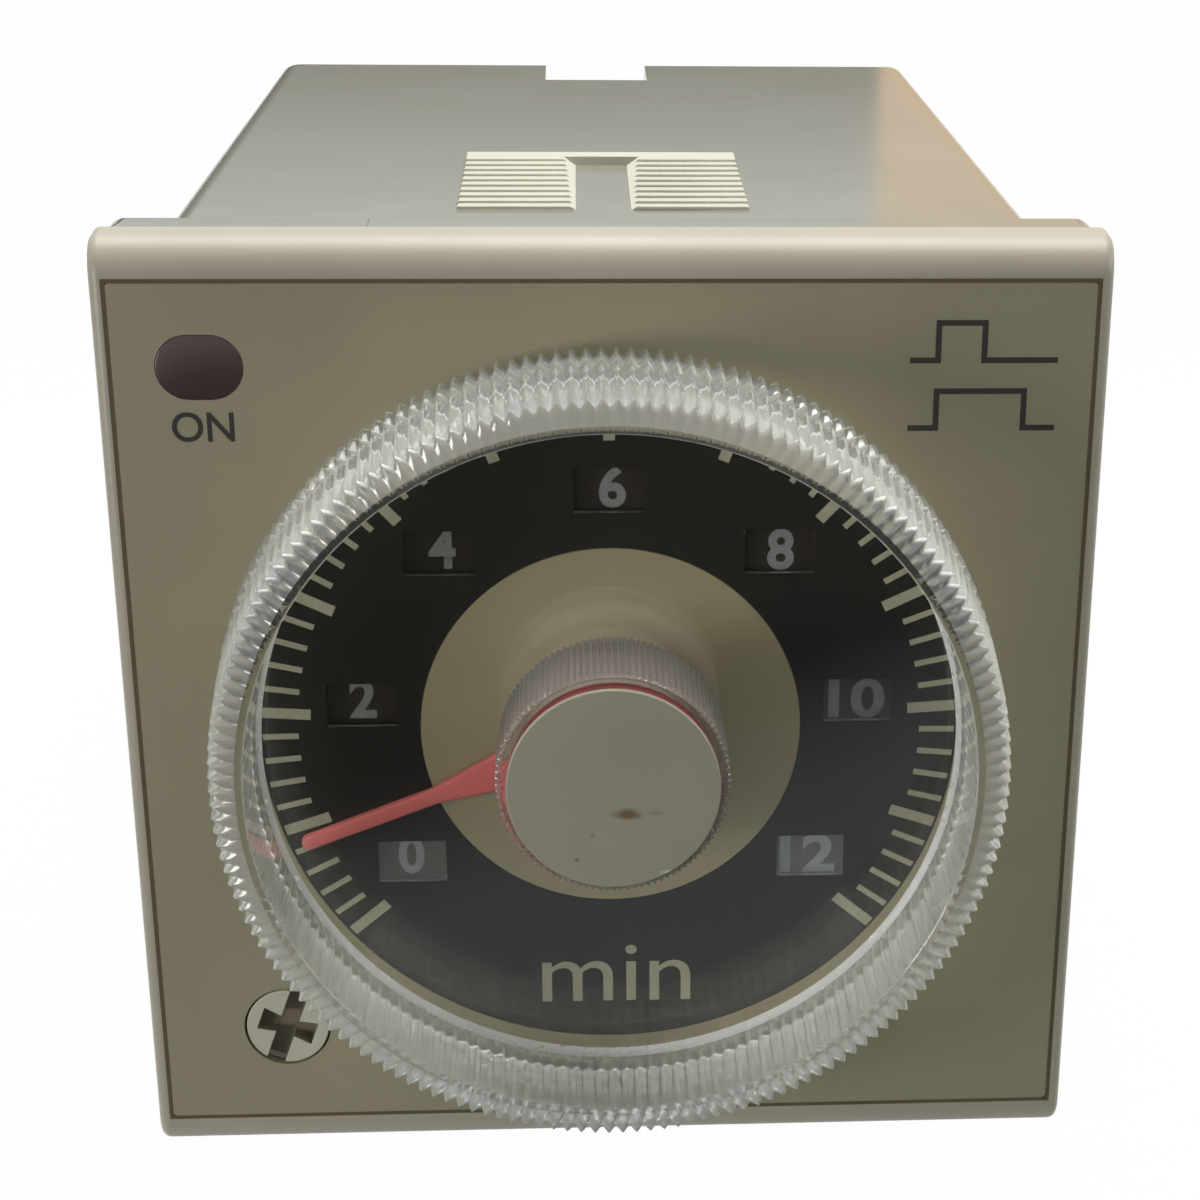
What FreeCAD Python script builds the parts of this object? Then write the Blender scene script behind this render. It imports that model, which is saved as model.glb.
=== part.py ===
import FreeCAD, Part
import math
import os
from types import SimpleNamespace

import Sketcher
from FreeCAD import Placement, Rotation, Vector

# A plug-in timer relay, 48 mm square at the front, with a clear setting dial.
# Every piece is drawn as seen from the front: x to the right, y up and z towards the viewer,
# with z = 0 at the flange's rear face, which seats on the panel. The finished pieces are then
# stood up, so that the front faces -Y and +Z is up.

SIZES = {
    # Case: a square tube with a flange at its front end
    "case_side": 44.8,
    "case_depth": 63.7,
    "case_wall": 1.3,
    "case_corner": 1.5,
    "rear_round": 0.8,
    "flange_overhang": 1.45,
    "flange_depth": 2.9,
    "flange_corner": 1.0,
    "strip_width": 22.6,
    "strip_height": 0.1,
    "strip_setback": 0.6,
    # Toothed ramps on the case, which the panel adapter catches on
    "ratchet_width": 15.2,
    "ratchet_start": 9.5,
    "ratchet_length": 14.7,
    "ratchet_height": 0.5,
    "ratchet_toe": 0.2,
    "ratchet_pitch": 1.4,
    "ratchet_tooth": 0.15,
    "ratchet_bar": 1.4,
    "ratchet_slot": 2.9,
    "ratchet_slope": 0.7,
    # Notches at the rear of the case and the plug base, for the socket's spring clips
    "notch_width": 7.0,
    "notch_length": 7.7,
    "notch_depth": 1.9,
    # Bezel and front panel
    "bezel_overhang": 0.15,
    "bezel_depth": 3.1,
    "bezel_round": 1.7,
    "bezel_side_round": 0.5,
    "border_top": 1.8,
    "border_side": 0.75,
    "opening_corner": 0.12,
    "panel_gap": 0.14,
    "panel_thickness": 1.1,
    "panel_corner": 0.3,
    "panel_edge": 0.08,
    "panel_web": 0.35,
    "label_inner": 9.35,
    "label_outer": 17.2,
    "label_thickness": 0.2,
    "label_gap": 0.03,
    "window_radius": 12.25,
    "window_step": 41.75,
    "window_width": 3.4,
    "window_height": 2.25,
    # Lamp
    "led_inset_x": 4.09,
    "led_inset_y": 4.01,
    "led_width": 4.1,
    "led_height": 3.1,
    "led_radius": 1.5,
    "led_body": 5.0,
    "lead_side": 0.5,
    "lead_pitch": 1.8,
    # Chassis and what turns on it
    "hub_radius": 4.0,
    "run_gap": 0.05,
    "layer_gap": 0.1,
    "disc_thickness": 0.6,
    "disc_rim": 15.6,
    "disc_room": 0.5,
    "selector_inset": 5.21,
    "selector_head": 2.1,
    "selector_gap": 0.12,
    "selector_shaft": 1.5,
    "selector_reach": 6.1,
    "slot_width": 0.95,
    "slot_depth": 0.9,
    "arm_width": 0.75,
    "arm_reach": 1.45,
    "pinion_teeth": 12,
    "sector_teeth": 75,
    "tooth_play": 0.17,
    "post_radius": 1.5,
    "post_inset": 3.6,
    # Dial: a thick clear dish with a ribbed rim
    "dial_radius": 19.2,
    "dial_teeth": 170,
    "tooth_depth": 0.45,
    "dial_clearance": 0.6,
    "dial_height": 7.8,
    "collar_height": 2.0,
    "groove_height": 1.0,
    "groove_depth": 0.3,
    "rim_inset": 0.1,
    "rim_draft": 0.35,
    "bevel_width": 0.85,
    "bevel_height": 0.4,
    "rim_wall": 1.6,
    "rim_chamfer": 0.15,
    "dish_depth": 5.6,
    "hub_wall": 1.11,
    "hub_drop": 0.6,
    # Pointer, cap and shaft
    "tube_radius": 4.4,
    "tube_gap": 0.05,
    "pointer_thickness": 0.4,
    "pointer_lift": 0.1,
    "pointer_root": 2.5,
    "pointer_neck": 9.35,
    "pointer_width": 0.78,
    "pointer_reach": 16.5,
    "pointer_setting": 0.86,
    "scale_units": 12,
    "scale_sweep": 259.2,
    "cap_radius": 5.03,
    "cap_thickness": 0.6,
    "cap_proud": 0.05,
    "cap_round": 0.25,
    "cap_plug": 0.8,
    "cap_plug_radius": 3.7,
    "shaft_radius": 3.0,
    "shaft_flat": 2.3,
    # Boards and what stands on them
    "board_setback": 5.2,
    "board_thickness": 1.6,
    "board_gap": 0.2,
    "side_board_inset": 4.1,
    "side_board_margin": 0.7,
    "pot_radius": 8.0,
    "pot_floor": 1.0,
    "switch_side": 7.6,
    "capacitor_radius": 5.0,
    "capacitor_length": 16.0,
    "capacitor_pitch": 12.0,
    "capacitor_crimp": 0.5,
    "capacitor_crimp_rise": 3.0,
    "capacitor_row": 8.0,
    "film_height": 7.0,
    "film_width": 13.0,
    "film_length": 18.0,
    "chip_height": 3.2,
    "chip_width": 6.4,
    "chip_length": 10.0,
    "varistor_radius": 4.2,
    "varistor_thickness": 3.5,
    "rectifier_height": 2.6,
    "rectifier_width": 6.5,
    "rectifier_length": 5.0,
    "resistor_radius": 1.15,
    "resistor_length": 6.3,
    "resistor_pitch": 4.0,
    # Output relay
    "relay_setback": 14.0,
    "relay_margin": 1.2,
    "relay_width": 16.0,
    "relay_length": 30.0,
    "relay_base": 1.8,
    "relay_wall": 0.7,
    "relay_headroom": 1.0,
    "coil_rise": 7.4,
    "coil_length": 17.0,
    "coil_radius": 5.0,
    "bobbin_side": 11.0,
    "bobbin_flange": 1.0,
    "bobbin_tube": 2.8,
    "core_radius": 2.25,
    "pole_radius": 3.4,
    "pole_thickness": 0.8,
    "pole_setback": 5.2,
    "yoke_thickness": 1.5,
    "yoke_gap": 0.4,
    "yoke_width": 10.0,
    "armature_thickness": 1.2,
    "armature_width": 9.0,
    "armature_swing": 4.0,
    "air_gap": 0.05,
    "blade_thickness": 0.3,
    "blade_width": 3.0,
    "contact_radius": 1.2,
    "contact_height": 0.5,
    "contact_drop": 5.2,
    # Plug base
    "base_thickness": 3.5,
    "base_gap": 0.1,
    "key_radius": 3.95,
    "key_length": 14.3,
    "key_chamfer": 0.6,
    "key_rib": 1.9,
    "key_rib_height": 0.8,
    "pin_circle": 17.45,
    "pin_count": 8,
    "pin_radius": 1.18,
    "pin_length": 11.1,
    "pin_round": 0.9,
    "pin_collar": 1.8,
    "pin_collar_height": 0.8,
    "pin_tail": 2.0,
    "pin_stem": 1.0,
    "pin_gap": 0.02,
}

TINY = 1e-6
STAND = Placement(Vector(0, 0, 0), Rotation(Vector(1, 0, 0), 90))

doc = FreeCAD.newDocument("TimerRelay")
sheet = doc.addObject("Spreadsheet::Sheet", "Sizes")
for row, (name, value) in enumerate(SIZES.items(), start=1):
    sheet.set(f"A{row}", name)
    sheet.set(f"B{row}", str(value))
    sheet.setAlias(f"B{row}", name)
doc.recompute()


class Size:
    """A length together with the sheet formula that it comes from."""

    def __init__(self, value, formula):
        self.value = value
        self.formula = formula

    def __add__(self, other):
        other = as_size(other)
        return Size(self.value + other.value, f"({self.formula} + {other.formula})")

    def __sub__(self, other):
        other = as_size(other)
        return Size(self.value - other.value, f"({self.formula} - {other.formula})")

    def __mul__(self, other):
        other = as_size(other)
        return Size(self.value * other.value, f"({self.formula} * {other.formula})")

    def __truediv__(self, other):
        other = as_size(other)
        return Size(self.value / other.value, f"({self.formula} / {other.formula})")

    def __neg__(self):
        return Size(-self.value, f"(0 - {self.formula})")

    def __rsub__(self, other):
        return as_size(other) - self

    __radd__ = __add__
    __rmul__ = __mul__


def as_size(item):
    """A plain number as a Size, so that both can be mixed in a formula."""
    if isinstance(item, Size):
        return item
    return Size(float(item), f"({item:.9g})")


s = SimpleNamespace(**{name: Size(float(sheet.get(name)), f"Sizes.{name}") for name in SIZES})
nodes = []
placements = {}


# Sketches and features


def polygon(*corners):
    """A closed outline of straight edges, with every corner held from the origin."""

    def draw(sketch):
        points = [(as_size(x), as_size(y)) for x, y in corners]
        first = sketch.GeometryCount
        count = len(points)
        vectors = [Vector(x.value, y.value, 0) for x, y in points]
        edges = [Part.LineSegment(vectors[i], vectors[(i + 1) % count]) for i in range(count)]
        sketch.addGeometry(edges, False)
        joins = [Sketcher.Constraint("Coincident", first + i, 2, first + (i + 1) % count, 1)
                 for i in range(count)]
        sketch.addConstraint(joins)
        for i, point in enumerate(points):
            hold(sketch, first + i, 1, point)

    return draw


def circle(x, y, radius):
    """A circle held by its centre and radius."""

    def draw(sketch):
        centre = (as_size(x), as_size(y))
        middle = Vector(centre[0].value, centre[1].value, 0)
        edge = sketch.addGeometry(Part.Circle(middle, Vector(0, 0, 1), as_size(radius).value), False)
        hold(sketch, edge, 3, centre)
        index = sketch.addConstraint(Sketcher.Constraint("Radius", edge, as_size(radius).value))
        sketch.setExpression(f"Constraints[{index}]", as_size(radius).formula)

    return draw


def hold(sketch, edge, point, place):
    """Tie a point's two coordinates to the sheet."""
    for kind, length in zip(("DistanceX", "DistanceY"), place):
        rule = Sketcher.Constraint(kind, -1, 1, edge, point, length.value)
        index = sketch.addConstraint(rule)
        sketch.setExpression(f"Constraints[{index}]", length.formula)


def rectangle(half_x, half_y, x=0, y=0):
    """A rectangle about a centre."""
    return polygon((x - half_x, y - half_y), (x + half_x, y - half_y),
                   (x + half_x, y + half_y), (x - half_x, y + half_y))


def new_body(name, placement=STAND):
    return node(doc.addObject("PartDesign::Body", name), placement)


def sketch_on(body, name, outlines, offset=0, plane="XY_Plane"):
    sketch = body.newObject("Sketcher::SketchObject", name)
    support = next(item for item in body.Origin.OriginFeatures if item.Role == plane)
    sketch.AttachmentSupport = (support, [""])
    sketch.MapMode = "FlatFace"
    sketch.setExpression("AttachmentOffset.Base.z", as_size(offset).formula)
    for outline in outlines:
        outline(sketch)
    return sketch


def pad(body, name, outlines, low, high, plane="XY_Plane"):
    """Add material between two heights above the plane."""
    profile = sketch_on(body, name + "Outline", outlines, low, plane)
    feature = body.newObject("PartDesign::Pad", name)
    feature.Profile = profile
    feature.setExpression("Length", (as_size(high) - low).formula)
    return feature


def pocket(body, name, outlines, low, high):
    """Cut material away between two heights, from the front backwards."""
    profile = sketch_on(body, name + "Outline", outlines, high)
    feature = body.newObject("PartDesign::Pocket", name)
    feature.Profile = profile
    feature.setExpression("Length", (as_size(high) - low).formula)
    return feature


def turn(body, name, corners):
    """Revolve a profile of radius and height about the z axis."""
    profile = sketch_on(body, name + "Profile", [polygon(*corners)], plane="XZ_Plane")
    feature = body.newObject("PartDesign::Revolution", name)
    feature.Profile = profile
    feature.ReferenceAxis = (profile, ["V_Axis"])
    feature.Angle = 360
    return feature


def fillet(body, name, radius, chosen):
    """Round the edges of the body that the test picks out."""
    doc.recompute()
    base = body.Tip
    edges = [f"Edge{i}" for i, edge in enumerate(base.Shape.Edges, start=1) if chosen(edge)]
    feature = body.newObject("PartDesign::Fillet", name)
    feature.Base = (base, edges)
    feature.setExpression("Radius", radius.formula)
    return feature


def spread(edge):
    """An edge's extent along x, y and z."""
    box = edge.BoundBox
    return box.XLength, box.YLength, box.ZLength


def upright(edge):
    """Is this a straight edge that runs along z?"""
    x, y, z = spread(edge)
    return x < TINY and y < TINY and z > TINY


def lies_at(edge, height):
    """Does the edge lie in the plane at this height?"""
    return abs(edge.BoundBox.ZMin - height) < TINY and abs(edge.BoundBox.ZMax - height) < TINY


# Solids made from blocks and cylinders


def place(item, start, rotation, standing):
    """Tie an item's place to the sheet; a standing one is turned upright with the finished object."""
    x, y, z = (as_size(length) for length in start)
    turned_up = STAND.Rotation.multiply(rotation) if standing else rotation
    item.Placement = Placement(Vector(0, 0, 0), turned_up)
    for axis, length in zip("xyz", (x, -z, y) if standing else (x, y, z)):
        item.setExpression(f"Placement.Base.{axis}", length.formula)


def block(name, x, y, z, standing=False):
    """A block between two limits on each axis."""
    item = doc.addObject("Part::Box", name)
    for side, (low, high) in zip(("Length", "Width", "Height"), (x, y, z)):
        item.setExpression(side, (as_size(high) - low).formula)
    place(item, (x[0], y[0], z[0]), Rotation(), standing)
    return item


AXIS_TURNS = {"x": Rotation(Vector(0, 1, 0), 90), "y": Rotation(Vector(1, 0, 0), -90), "z": Rotation()}


def rod(name, start, length, radius, along="z", standing=False):
    """A cylinder that leaves its start point in the positive direction of an axis."""
    item = doc.addObject("Part::Cylinder", name)
    item.setExpression("Radius", as_size(radius).formula)
    item.setExpression("Height", as_size(length).formula)
    place(item, start, AXIS_TURNS[along], standing)
    return item


def fuse(name, *items):
    item = doc.addObject("Part::MultiFuse", name)
    item.Shapes = list(items)
    return item


def cut(name, base, *tools):
    item = doc.addObject("Part::Cut", name)
    item.Base = base
    item.Tool = tools[0] if len(tools) == 1 else fuse(name + "Tools", *tools)
    return item


def node(item, placement=STAND):
    """Keep a finished piece, to be stood up at the end."""
    nodes.append(item)
    placements[item.Name] = placement
    return item


def block_node(name, x, y, z):
    return node(block(name, x, y, z, standing=True), None)


def rod_node(name, start, length, radius, along="z"):
    return node(rod(name, start, length, radius, along, standing=True), None)


# Places that several pieces share

case_half = s.case_side / 2
inner_half = case_half - s.case_wall
flange_half = case_half + s.flange_overhang
bezel_half = flange_half + s.bezel_overhang
front = s.flange_depth + s.bezel_depth
opening_x = bezel_half - s.border_side
opening_y = bezel_half - s.border_top
panel_x = opening_x - s.panel_gap
panel_y = opening_y - s.panel_gap
panel_back = front - s.panel_thickness
label_back = front - s.label_thickness
web_back = label_back - s.panel_web
disc_front = web_back - s.layer_gap
disc_back = disc_front - s.disc_thickness
recess_floor = disc_back - s.layer_gap

selector_offset = panel_y - s.selector_inset
gear_distance = selector_offset * math.sqrt(2)
gear_module = gear_distance * 2 / (s.pinion_teeth + s.sector_teeth)
pinion_pitch = gear_module * s.pinion_teeth / 2
sector_pitch = gear_module * s.sector_teeth / 2
ADDENDUM = 0.78
DEDENDUM = 1.05
TOOTH_SINK = 0.2
FLANK_ANGLE = math.radians(20)
SECTOR_MARGIN = 2.5
ARC_STEPS = 10
NUMBER_SETS = 3
SLOT_TILT = math.radians(20)
ARM_FLARE = 1.7
DOME_SHARE = 0.9
pinion_tip = pinion_pitch + gear_module * ADDENDUM
sector_tip = sector_pitch + gear_module * ADDENDUM
recess_radius = sector_tip + s.disc_room
pinion_room = pinion_tip + s.disc_room
MESH_ANGLE = 225.0
selector_x = -selector_offset
selector_y = -selector_offset

dial_back = front + s.dial_clearance
dial_front = dial_back + s.dial_height
plate_front = dial_front - s.dish_depth
hub_bore = s.tube_radius + s.tube_gap
hub_outer = hub_bore + s.hub_wall
cap_front = dial_front + s.cap_proud
cap_back = cap_front - s.cap_thickness
plug_end = cap_back - s.cap_plug
shaft_end = plug_end - 2 * s.layer_gap
pointer_back = front + s.pointer_lift

board_front = -s.board_setback
board_back = board_front - s.board_thickness
board_half = inner_half - s.board_gap
base_front = s.base_thickness - s.case_depth
side_outer = inner_half - s.side_board_inset
side_inner = side_outer - s.board_thickness
side_half = board_half - s.side_board_margin
relay_mid = s.relay_margin + s.relay_width / 2 - side_half
led_x = s.led_inset_x - panel_x
led_y = panel_y - s.led_inset_y


def clockwise(degrees):
    """The direction this far clockwise from straight down, seen from the front."""
    angle = math.radians(degrees)
    return -math.sin(angle), -math.cos(angle)


def make_case():
    body = new_body("case")
    rear = -s.case_depth
    pad(body, "CaseTube", [rectangle(case_half, case_half)], rear, 0)
    fillet(body, "CaseCorners", s.case_corner, upright)
    fillet(body, "CaseRear", s.rear_round, lambda edge: lies_at(edge, rear.value))
    pad(body, "Flange", [rectangle(flange_half, flange_half)], 0, s.flange_depth)
    fillet(body, "FlangeCorners", s.flange_corner,
           lambda edge: upright(edge) and edge.BoundBox.ZMin > -TINY)
    strip_top = flange_half + s.strip_height
    for side, label in ((1, "Top"), (-1, "Bottom")):
        strip = polygon((-s.strip_width / 2, 0), (s.strip_width / 2, 0),
                        (s.strip_width / 2, side * strip_top), (-s.strip_width / 2, side * strip_top))
        pad(body, "Strip" + label, [strip], s.strip_setback, s.flange_depth)
        make_ratchet(body, side, label)
    pocket(body, "Inside", [rectangle(inner_half, inner_half)], rear, s.flange_depth)
    notch = rectangle(s.notch_width / 2, case_half + s.case_wall)
    pocket(body, "ClipNotches", [notch], rear, rear + s.notch_length)


def make_ratchet(body, side, label):
    """A low wedge of saw teeth across the case, highest at the rear, with a slot down its middle."""
    start = -s.ratchet_start
    end = start - s.ratchet_length
    foot = side * (case_half - s.case_wall / 2)
    count = int((s.ratchet_length - s.ratchet_bar).value / s.ratchet_pitch.value + TINY)
    slope = (s.ratchet_height - s.ratchet_toe) / s.ratchet_length
    corners = [(foot, start)]
    for i in range(count + 1):
        back = s.ratchet_pitch * i
        tip = case_half + s.ratchet_toe + slope * back
        if i > 0:
            corners.append((side * (tip - s.ratchet_tooth), start - back))
        corners.append((side * tip, start - back))
    top = side * (case_half + s.ratchet_height)
    corners.append((top, end))
    corners.append((foot, end))
    half = s.ratchet_width / 2
    pad(body, "Ratchet" + label, [polygon(*corners)], -half, half, "YZ_Plane")
    floor = s.ratchet_slot / 2
    mouth = floor + s.ratchet_slope
    slot = polygon((-floor, side * case_half), (floor, side * case_half), (mouth, top), (-mouth, top))
    pocket(body, "RatchetSlot" + label, [slot], end + s.ratchet_bar, start + s.ratchet_pitch)


def make_bezel():
    body = new_body("bezel")
    pad(body, "BezelBlock", [rectangle(bezel_half, bezel_half)], s.flange_depth, front)
    fillet(body, "BezelTopRound", s.bezel_round,
           lambda edge: lies_at(edge, front.value) and spread(edge)[0] > TINY)
    fillet(body, "BezelSideRound", s.bezel_side_round,
           lambda edge: lies_at(edge, front.value) and spread(edge)[1] > TINY
           and abs(abs(edge.BoundBox.XMin) - bezel_half.value) < TINY)
    pocket(body, "Opening", [rectangle(opening_x, opening_y)], s.flange_depth, front + s.panel_gap)
    fillet(body, "OpeningCorners", s.opening_corner,
           lambda edge: upright(edge) and abs(abs(edge.BoundBox.XMin) - opening_x.value) < TINY)


def obround(body, make, name, x, y, width, height, low, high):
    """A slot with round ends, added or cut: its middle, then its two ends."""
    reach = (width - height) / 2
    make(body, name + "Middle", [rectangle(reach, height / 2, x, y)], low, high)
    for side in (-1, 1):
        ending = circle(x + reach * side, y, height / 2)
        make(body, f"{name}End{side + 1}", [ending], low, high)


def window_places():
    """The centres of the seven number windows, from the lowest number clockwise."""
    places = []
    for step in range(-3, 4):
        x, y = clockwise(180 + step * s.window_step.value)
        places.append((s.window_radius * x, s.window_radius * y))
    return places


def make_front_panel():
    body = new_body("front_panel")
    pad(body, "PanelPlate", [rectangle(panel_x, panel_y)], panel_back, front)
    fillet(body, "PanelCorners", s.panel_corner, upright)
    fillet(body, "PanelEdge", s.panel_edge, lambda edge: lies_at(edge, front.value))
    ring = [circle(0, 0, s.label_outer), circle(0, 0, s.label_inner)]
    pocket(body, "LabelRecess", ring, label_back, front)
    pocket(body, "DiscRecess", [circle(0, 0, recess_radius)], panel_back, web_back)
    pocket(body, "PinionRecess", [circle(selector_x, selector_y, pinion_room)], panel_back, web_back)
    pocket(body, "ShaftHole", [circle(0, 0, s.shaft_radius + s.disc_room)], panel_back, front)
    pocket(body, "SelectorHole", [circle(selector_x, selector_y, s.selector_head + s.selector_gap)],
           panel_back, front)
    windows = [rectangle(s.window_width / 2, s.window_height / 2, x, y) for x, y in window_places()]
    pocket(body, "NumberWindows", windows, web_back, label_back)
    obround(body, pocket, "LampHole", led_x, led_y, s.led_width, s.led_height, panel_back, front)


def make_scale_label():
    body = new_body("scale_label")
    ring = [circle(0, 0, s.label_outer - s.label_gap), circle(0, 0, s.label_inner + s.label_gap)]
    pad(body, "LabelRing", ring, label_back, front)


def make_led_window():
    body = new_body("led_window")
    width = s.led_width - 2 * s.run_gap
    height = s.led_height - 2 * s.run_gap
    obround(body, pad, "Lens", led_x, led_y, width, height, panel_back, front)


def make_chassis():
    body = new_body("chassis")
    pad(body, "Plate", [rectangle(panel_x, panel_y)], s.flange_depth, panel_back)
    fillet(body, "PlateCorners", s.panel_corner, upright)
    pocket(body, "DiscSeat", [circle(0, 0, recess_radius)], recess_floor, panel_back)
    pocket(body, "PinionSeat", [circle(selector_x, selector_y, pinion_room)], recess_floor, panel_back)
    pad(body, "DiscHub", [circle(0, 0, s.hub_radius)], s.flange_depth, web_back - s.run_gap)
    posts = [circle(x, y, s.post_radius) for x, y in post_places()]
    pad(body, "Posts", posts, board_front, s.flange_depth)
    pocket(body, "ShaftBearing", [circle(0, 0, s.shaft_radius + s.run_gap)], s.flange_depth, web_back)
    pocket(body, "SelectorBearing", [circle(selector_x, selector_y, s.selector_shaft + s.run_gap)],
           s.flange_depth, panel_back)
    pocket(body, "LampPassage", [circle(led_x, led_y, s.led_radius + s.layer_gap)],
           s.flange_depth, panel_back)


def post_places():
    """Where the chassis stands on the front board."""
    reach = board_half - s.post_inset
    return [(reach, reach), (reach, -reach), (-reach, 0)]


def add_teeth(body, pitch, step, first, count, low, high, x=0, y=0):
    """Straight-flanked gear teeth about a centre: one tooth and its copies in turn."""
    half = gear_module * math.pi / 4 - s.tooth_play / 2
    outer = pitch + gear_module * ADDENDUM
    foot = pitch - gear_module * (DEDENDUM + TOOTH_SINK)
    slope = math.tan(FLANK_ANGLE)
    tip_half = half - gear_module * ADDENDUM * slope
    foot_half = half + gear_module * (DEDENDUM + TOOTH_SINK) * slope
    for i in range(count):
        angle = math.radians(first + step * i)
        along = (math.cos(angle), math.sin(angle))
        across = (-along[1], along[0])
        corners = []
        for reach, width in ((foot, -foot_half), (outer, -tip_half), (outer, tip_half), (foot, foot_half)):
            corners.append((x + reach * along[0] + width * across[0],
                            y + reach * along[1] + width * across[1]))
        pad(body, f"Tooth{i}", [polygon(*corners)], low, high)


def make_number_disc():
    body = new_body("number_disc")
    bore = s.hub_radius + s.run_gap
    pad(body, "Disc", [circle(0, 0, s.disc_rim), circle(0, 0, bore)], disc_back, disc_front)
    step = 360 / s.sector_teeth.value
    travel = s.window_step.value * (NUMBER_SETS - 1) / NUMBER_SETS
    margin = SECTOR_MARGIN * step
    low = math.radians(MESH_ANGLE - margin)
    high = math.radians(MESH_ANGLE + travel + margin)
    root = sector_pitch - gear_module * DEDENDUM
    inside = s.disc_rim - s.disc_thickness
    arc = [low + (high - low) * i / ARC_STEPS for i in range(ARC_STEPS + 1)]
    rim = [(low, inside)] + [(angle, root) for angle in arc] + [(high, inside)]
    corners = [(reach * math.cos(angle), reach * math.sin(angle)) for angle, reach in rim]
    pad(body, "SectorArm", [polygon(*corners)], disc_back, disc_front)
    count = int((travel + 2 * margin) / step)
    add_teeth(body, sector_pitch, step, MESH_ANGLE - 2 * step, count, disc_back, disc_front)


def make_selector():
    body = new_body("selector")
    x, y = selector_x, selector_y
    pad(body, "Head", [circle(x, y, s.selector_head)], disc_front, front - s.run_gap)
    root = pinion_pitch - gear_module * DEDENDUM
    pad(body, "PinionCore", [circle(x, y, root)], disc_back, disc_front)
    pad(body, "Shaft", [circle(x, y, s.selector_shaft)], disc_back - s.selector_reach, disc_back)
    step = 360 / s.pinion_teeth.value
    first = MESH_ANGLE + 180 + step / 2
    add_teeth(body, pinion_pitch, step, first, int(s.pinion_teeth.value), disc_back, disc_front, x, y)
    slot_top = front - s.run_gap
    slots = ((s.slot_width, s.slot_width, s.selector_head + s.run_gap, "Slot"),
             (s.arm_width, s.arm_width * ARM_FLARE, s.arm_reach, "Arms"))
    for (inner, outer, reach, label), angle in zip(slots, (math.pi / 2 - SLOT_TILT, -SLOT_TILT)):
        along = (math.cos(angle), math.sin(angle))
        across = (-along[1], along[0])
        corners = [(-reach, -outer / 2), (0, -inner / 2), (reach, -outer / 2),
                   (reach, outer / 2), (0, inner / 2), (-reach, outer / 2)]
        outline = [(x + u * along[0] + v * across[0], y + u * along[1] + v * across[1]) for u, v in corners]
        pocket(body, label, [polygon(*outline)], slot_top - s.slot_depth, slot_top)


def star(tip, height):
    """The corners of one ring of teeth, tip and root in turn."""
    count = int(s.dial_teeth.value)
    root = tip * (1 - s.tooth_depth.value / s.dial_radius.value)
    corners = []
    for i in range(2 * count):
        angle = math.pi * i / count
        radius = tip if i % 2 == 0 else root
        corners.append(Vector(radius * math.cos(angle), radius * math.sin(angle), height))
    return corners


def ribbed(*rings):
    """A solid through rings of teeth, one flat face for each flank."""
    count = len(rings[0])
    faces = [Part.Face(Part.makePolygon(ring + ring[:1])) for ring in (rings[0], rings[-1])]
    for lower, upper in zip(rings, rings[1:]):
        for i in range(count):
            j = (i + 1) % count
            quad = [lower[i], lower[j], upper[j], upper[i], lower[i]]
            faces.append(Part.Face(Part.makePolygon(quad)))
    solid = Part.Solid(Part.Shell(faces))
    solid.fixTolerance(TINY)
    if solid.Volume < 0:
        solid.reverse()
    return solid


def turned(*profile):
    """A solid of revolution about z from corners of radius and height."""
    corners = [Vector(radius.value, 0, height.value) for radius, height in
               ((as_size(r), as_size(z)) for r, z in profile)]
    face = Part.Face(Part.makePolygon(corners + corners[:1]))
    return face.revolve(Vector(0, 0, 0), Vector(0, 0, 1), 360)


def make_dial():
    """The clear dish: ribbed rim with a groove round it, thick plate and hub collar in one moulding."""
    collar_top = dial_back + s.collar_height
    groove_top = collar_top + s.groove_height
    bevel_start = dial_front - s.bevel_height
    groove_tip = s.dial_radius - s.groove_depth
    rim_back = s.dial_radius - s.rim_inset
    rim_front = rim_back - s.rim_draft
    bevel_front = rim_front - s.bevel_width
    collar = ribbed(*[star(s.dial_radius.value, height.value) for height in (dial_back, collar_top)])
    neck = ribbed(*[star(groove_tip.value, height.value) for height in (collar_top, groove_top)])
    rim = ribbed(star(rim_back.value, groove_top.value), star(rim_front.value, bevel_start.value),
                 star(bevel_front.value, dial_front.value))
    dish_outer = rim_front - s.rim_wall
    over = dial_front + s.layer_gap
    hub_front = dial_front - s.hub_drop
    dish = turned((0, hub_front), (hub_outer, hub_front), (hub_outer, plate_front),
                  (dish_outer - s.rim_chamfer, plate_front), (dish_outer, dial_front - s.rim_chamfer),
                  (dish_outer + s.rim_chamfer + s.layer_gap, over), (0, over))
    under = dial_back - s.layer_gap
    bore = turned((0, under), (hub_bore, under), (hub_bore, over), (0, over))
    item = doc.addObject("Part::Feature", "dial")
    item.Shape = collar.fuse([neck, rim]).cut([dish, bore]).removeSplitter()
    node(item)


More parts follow.
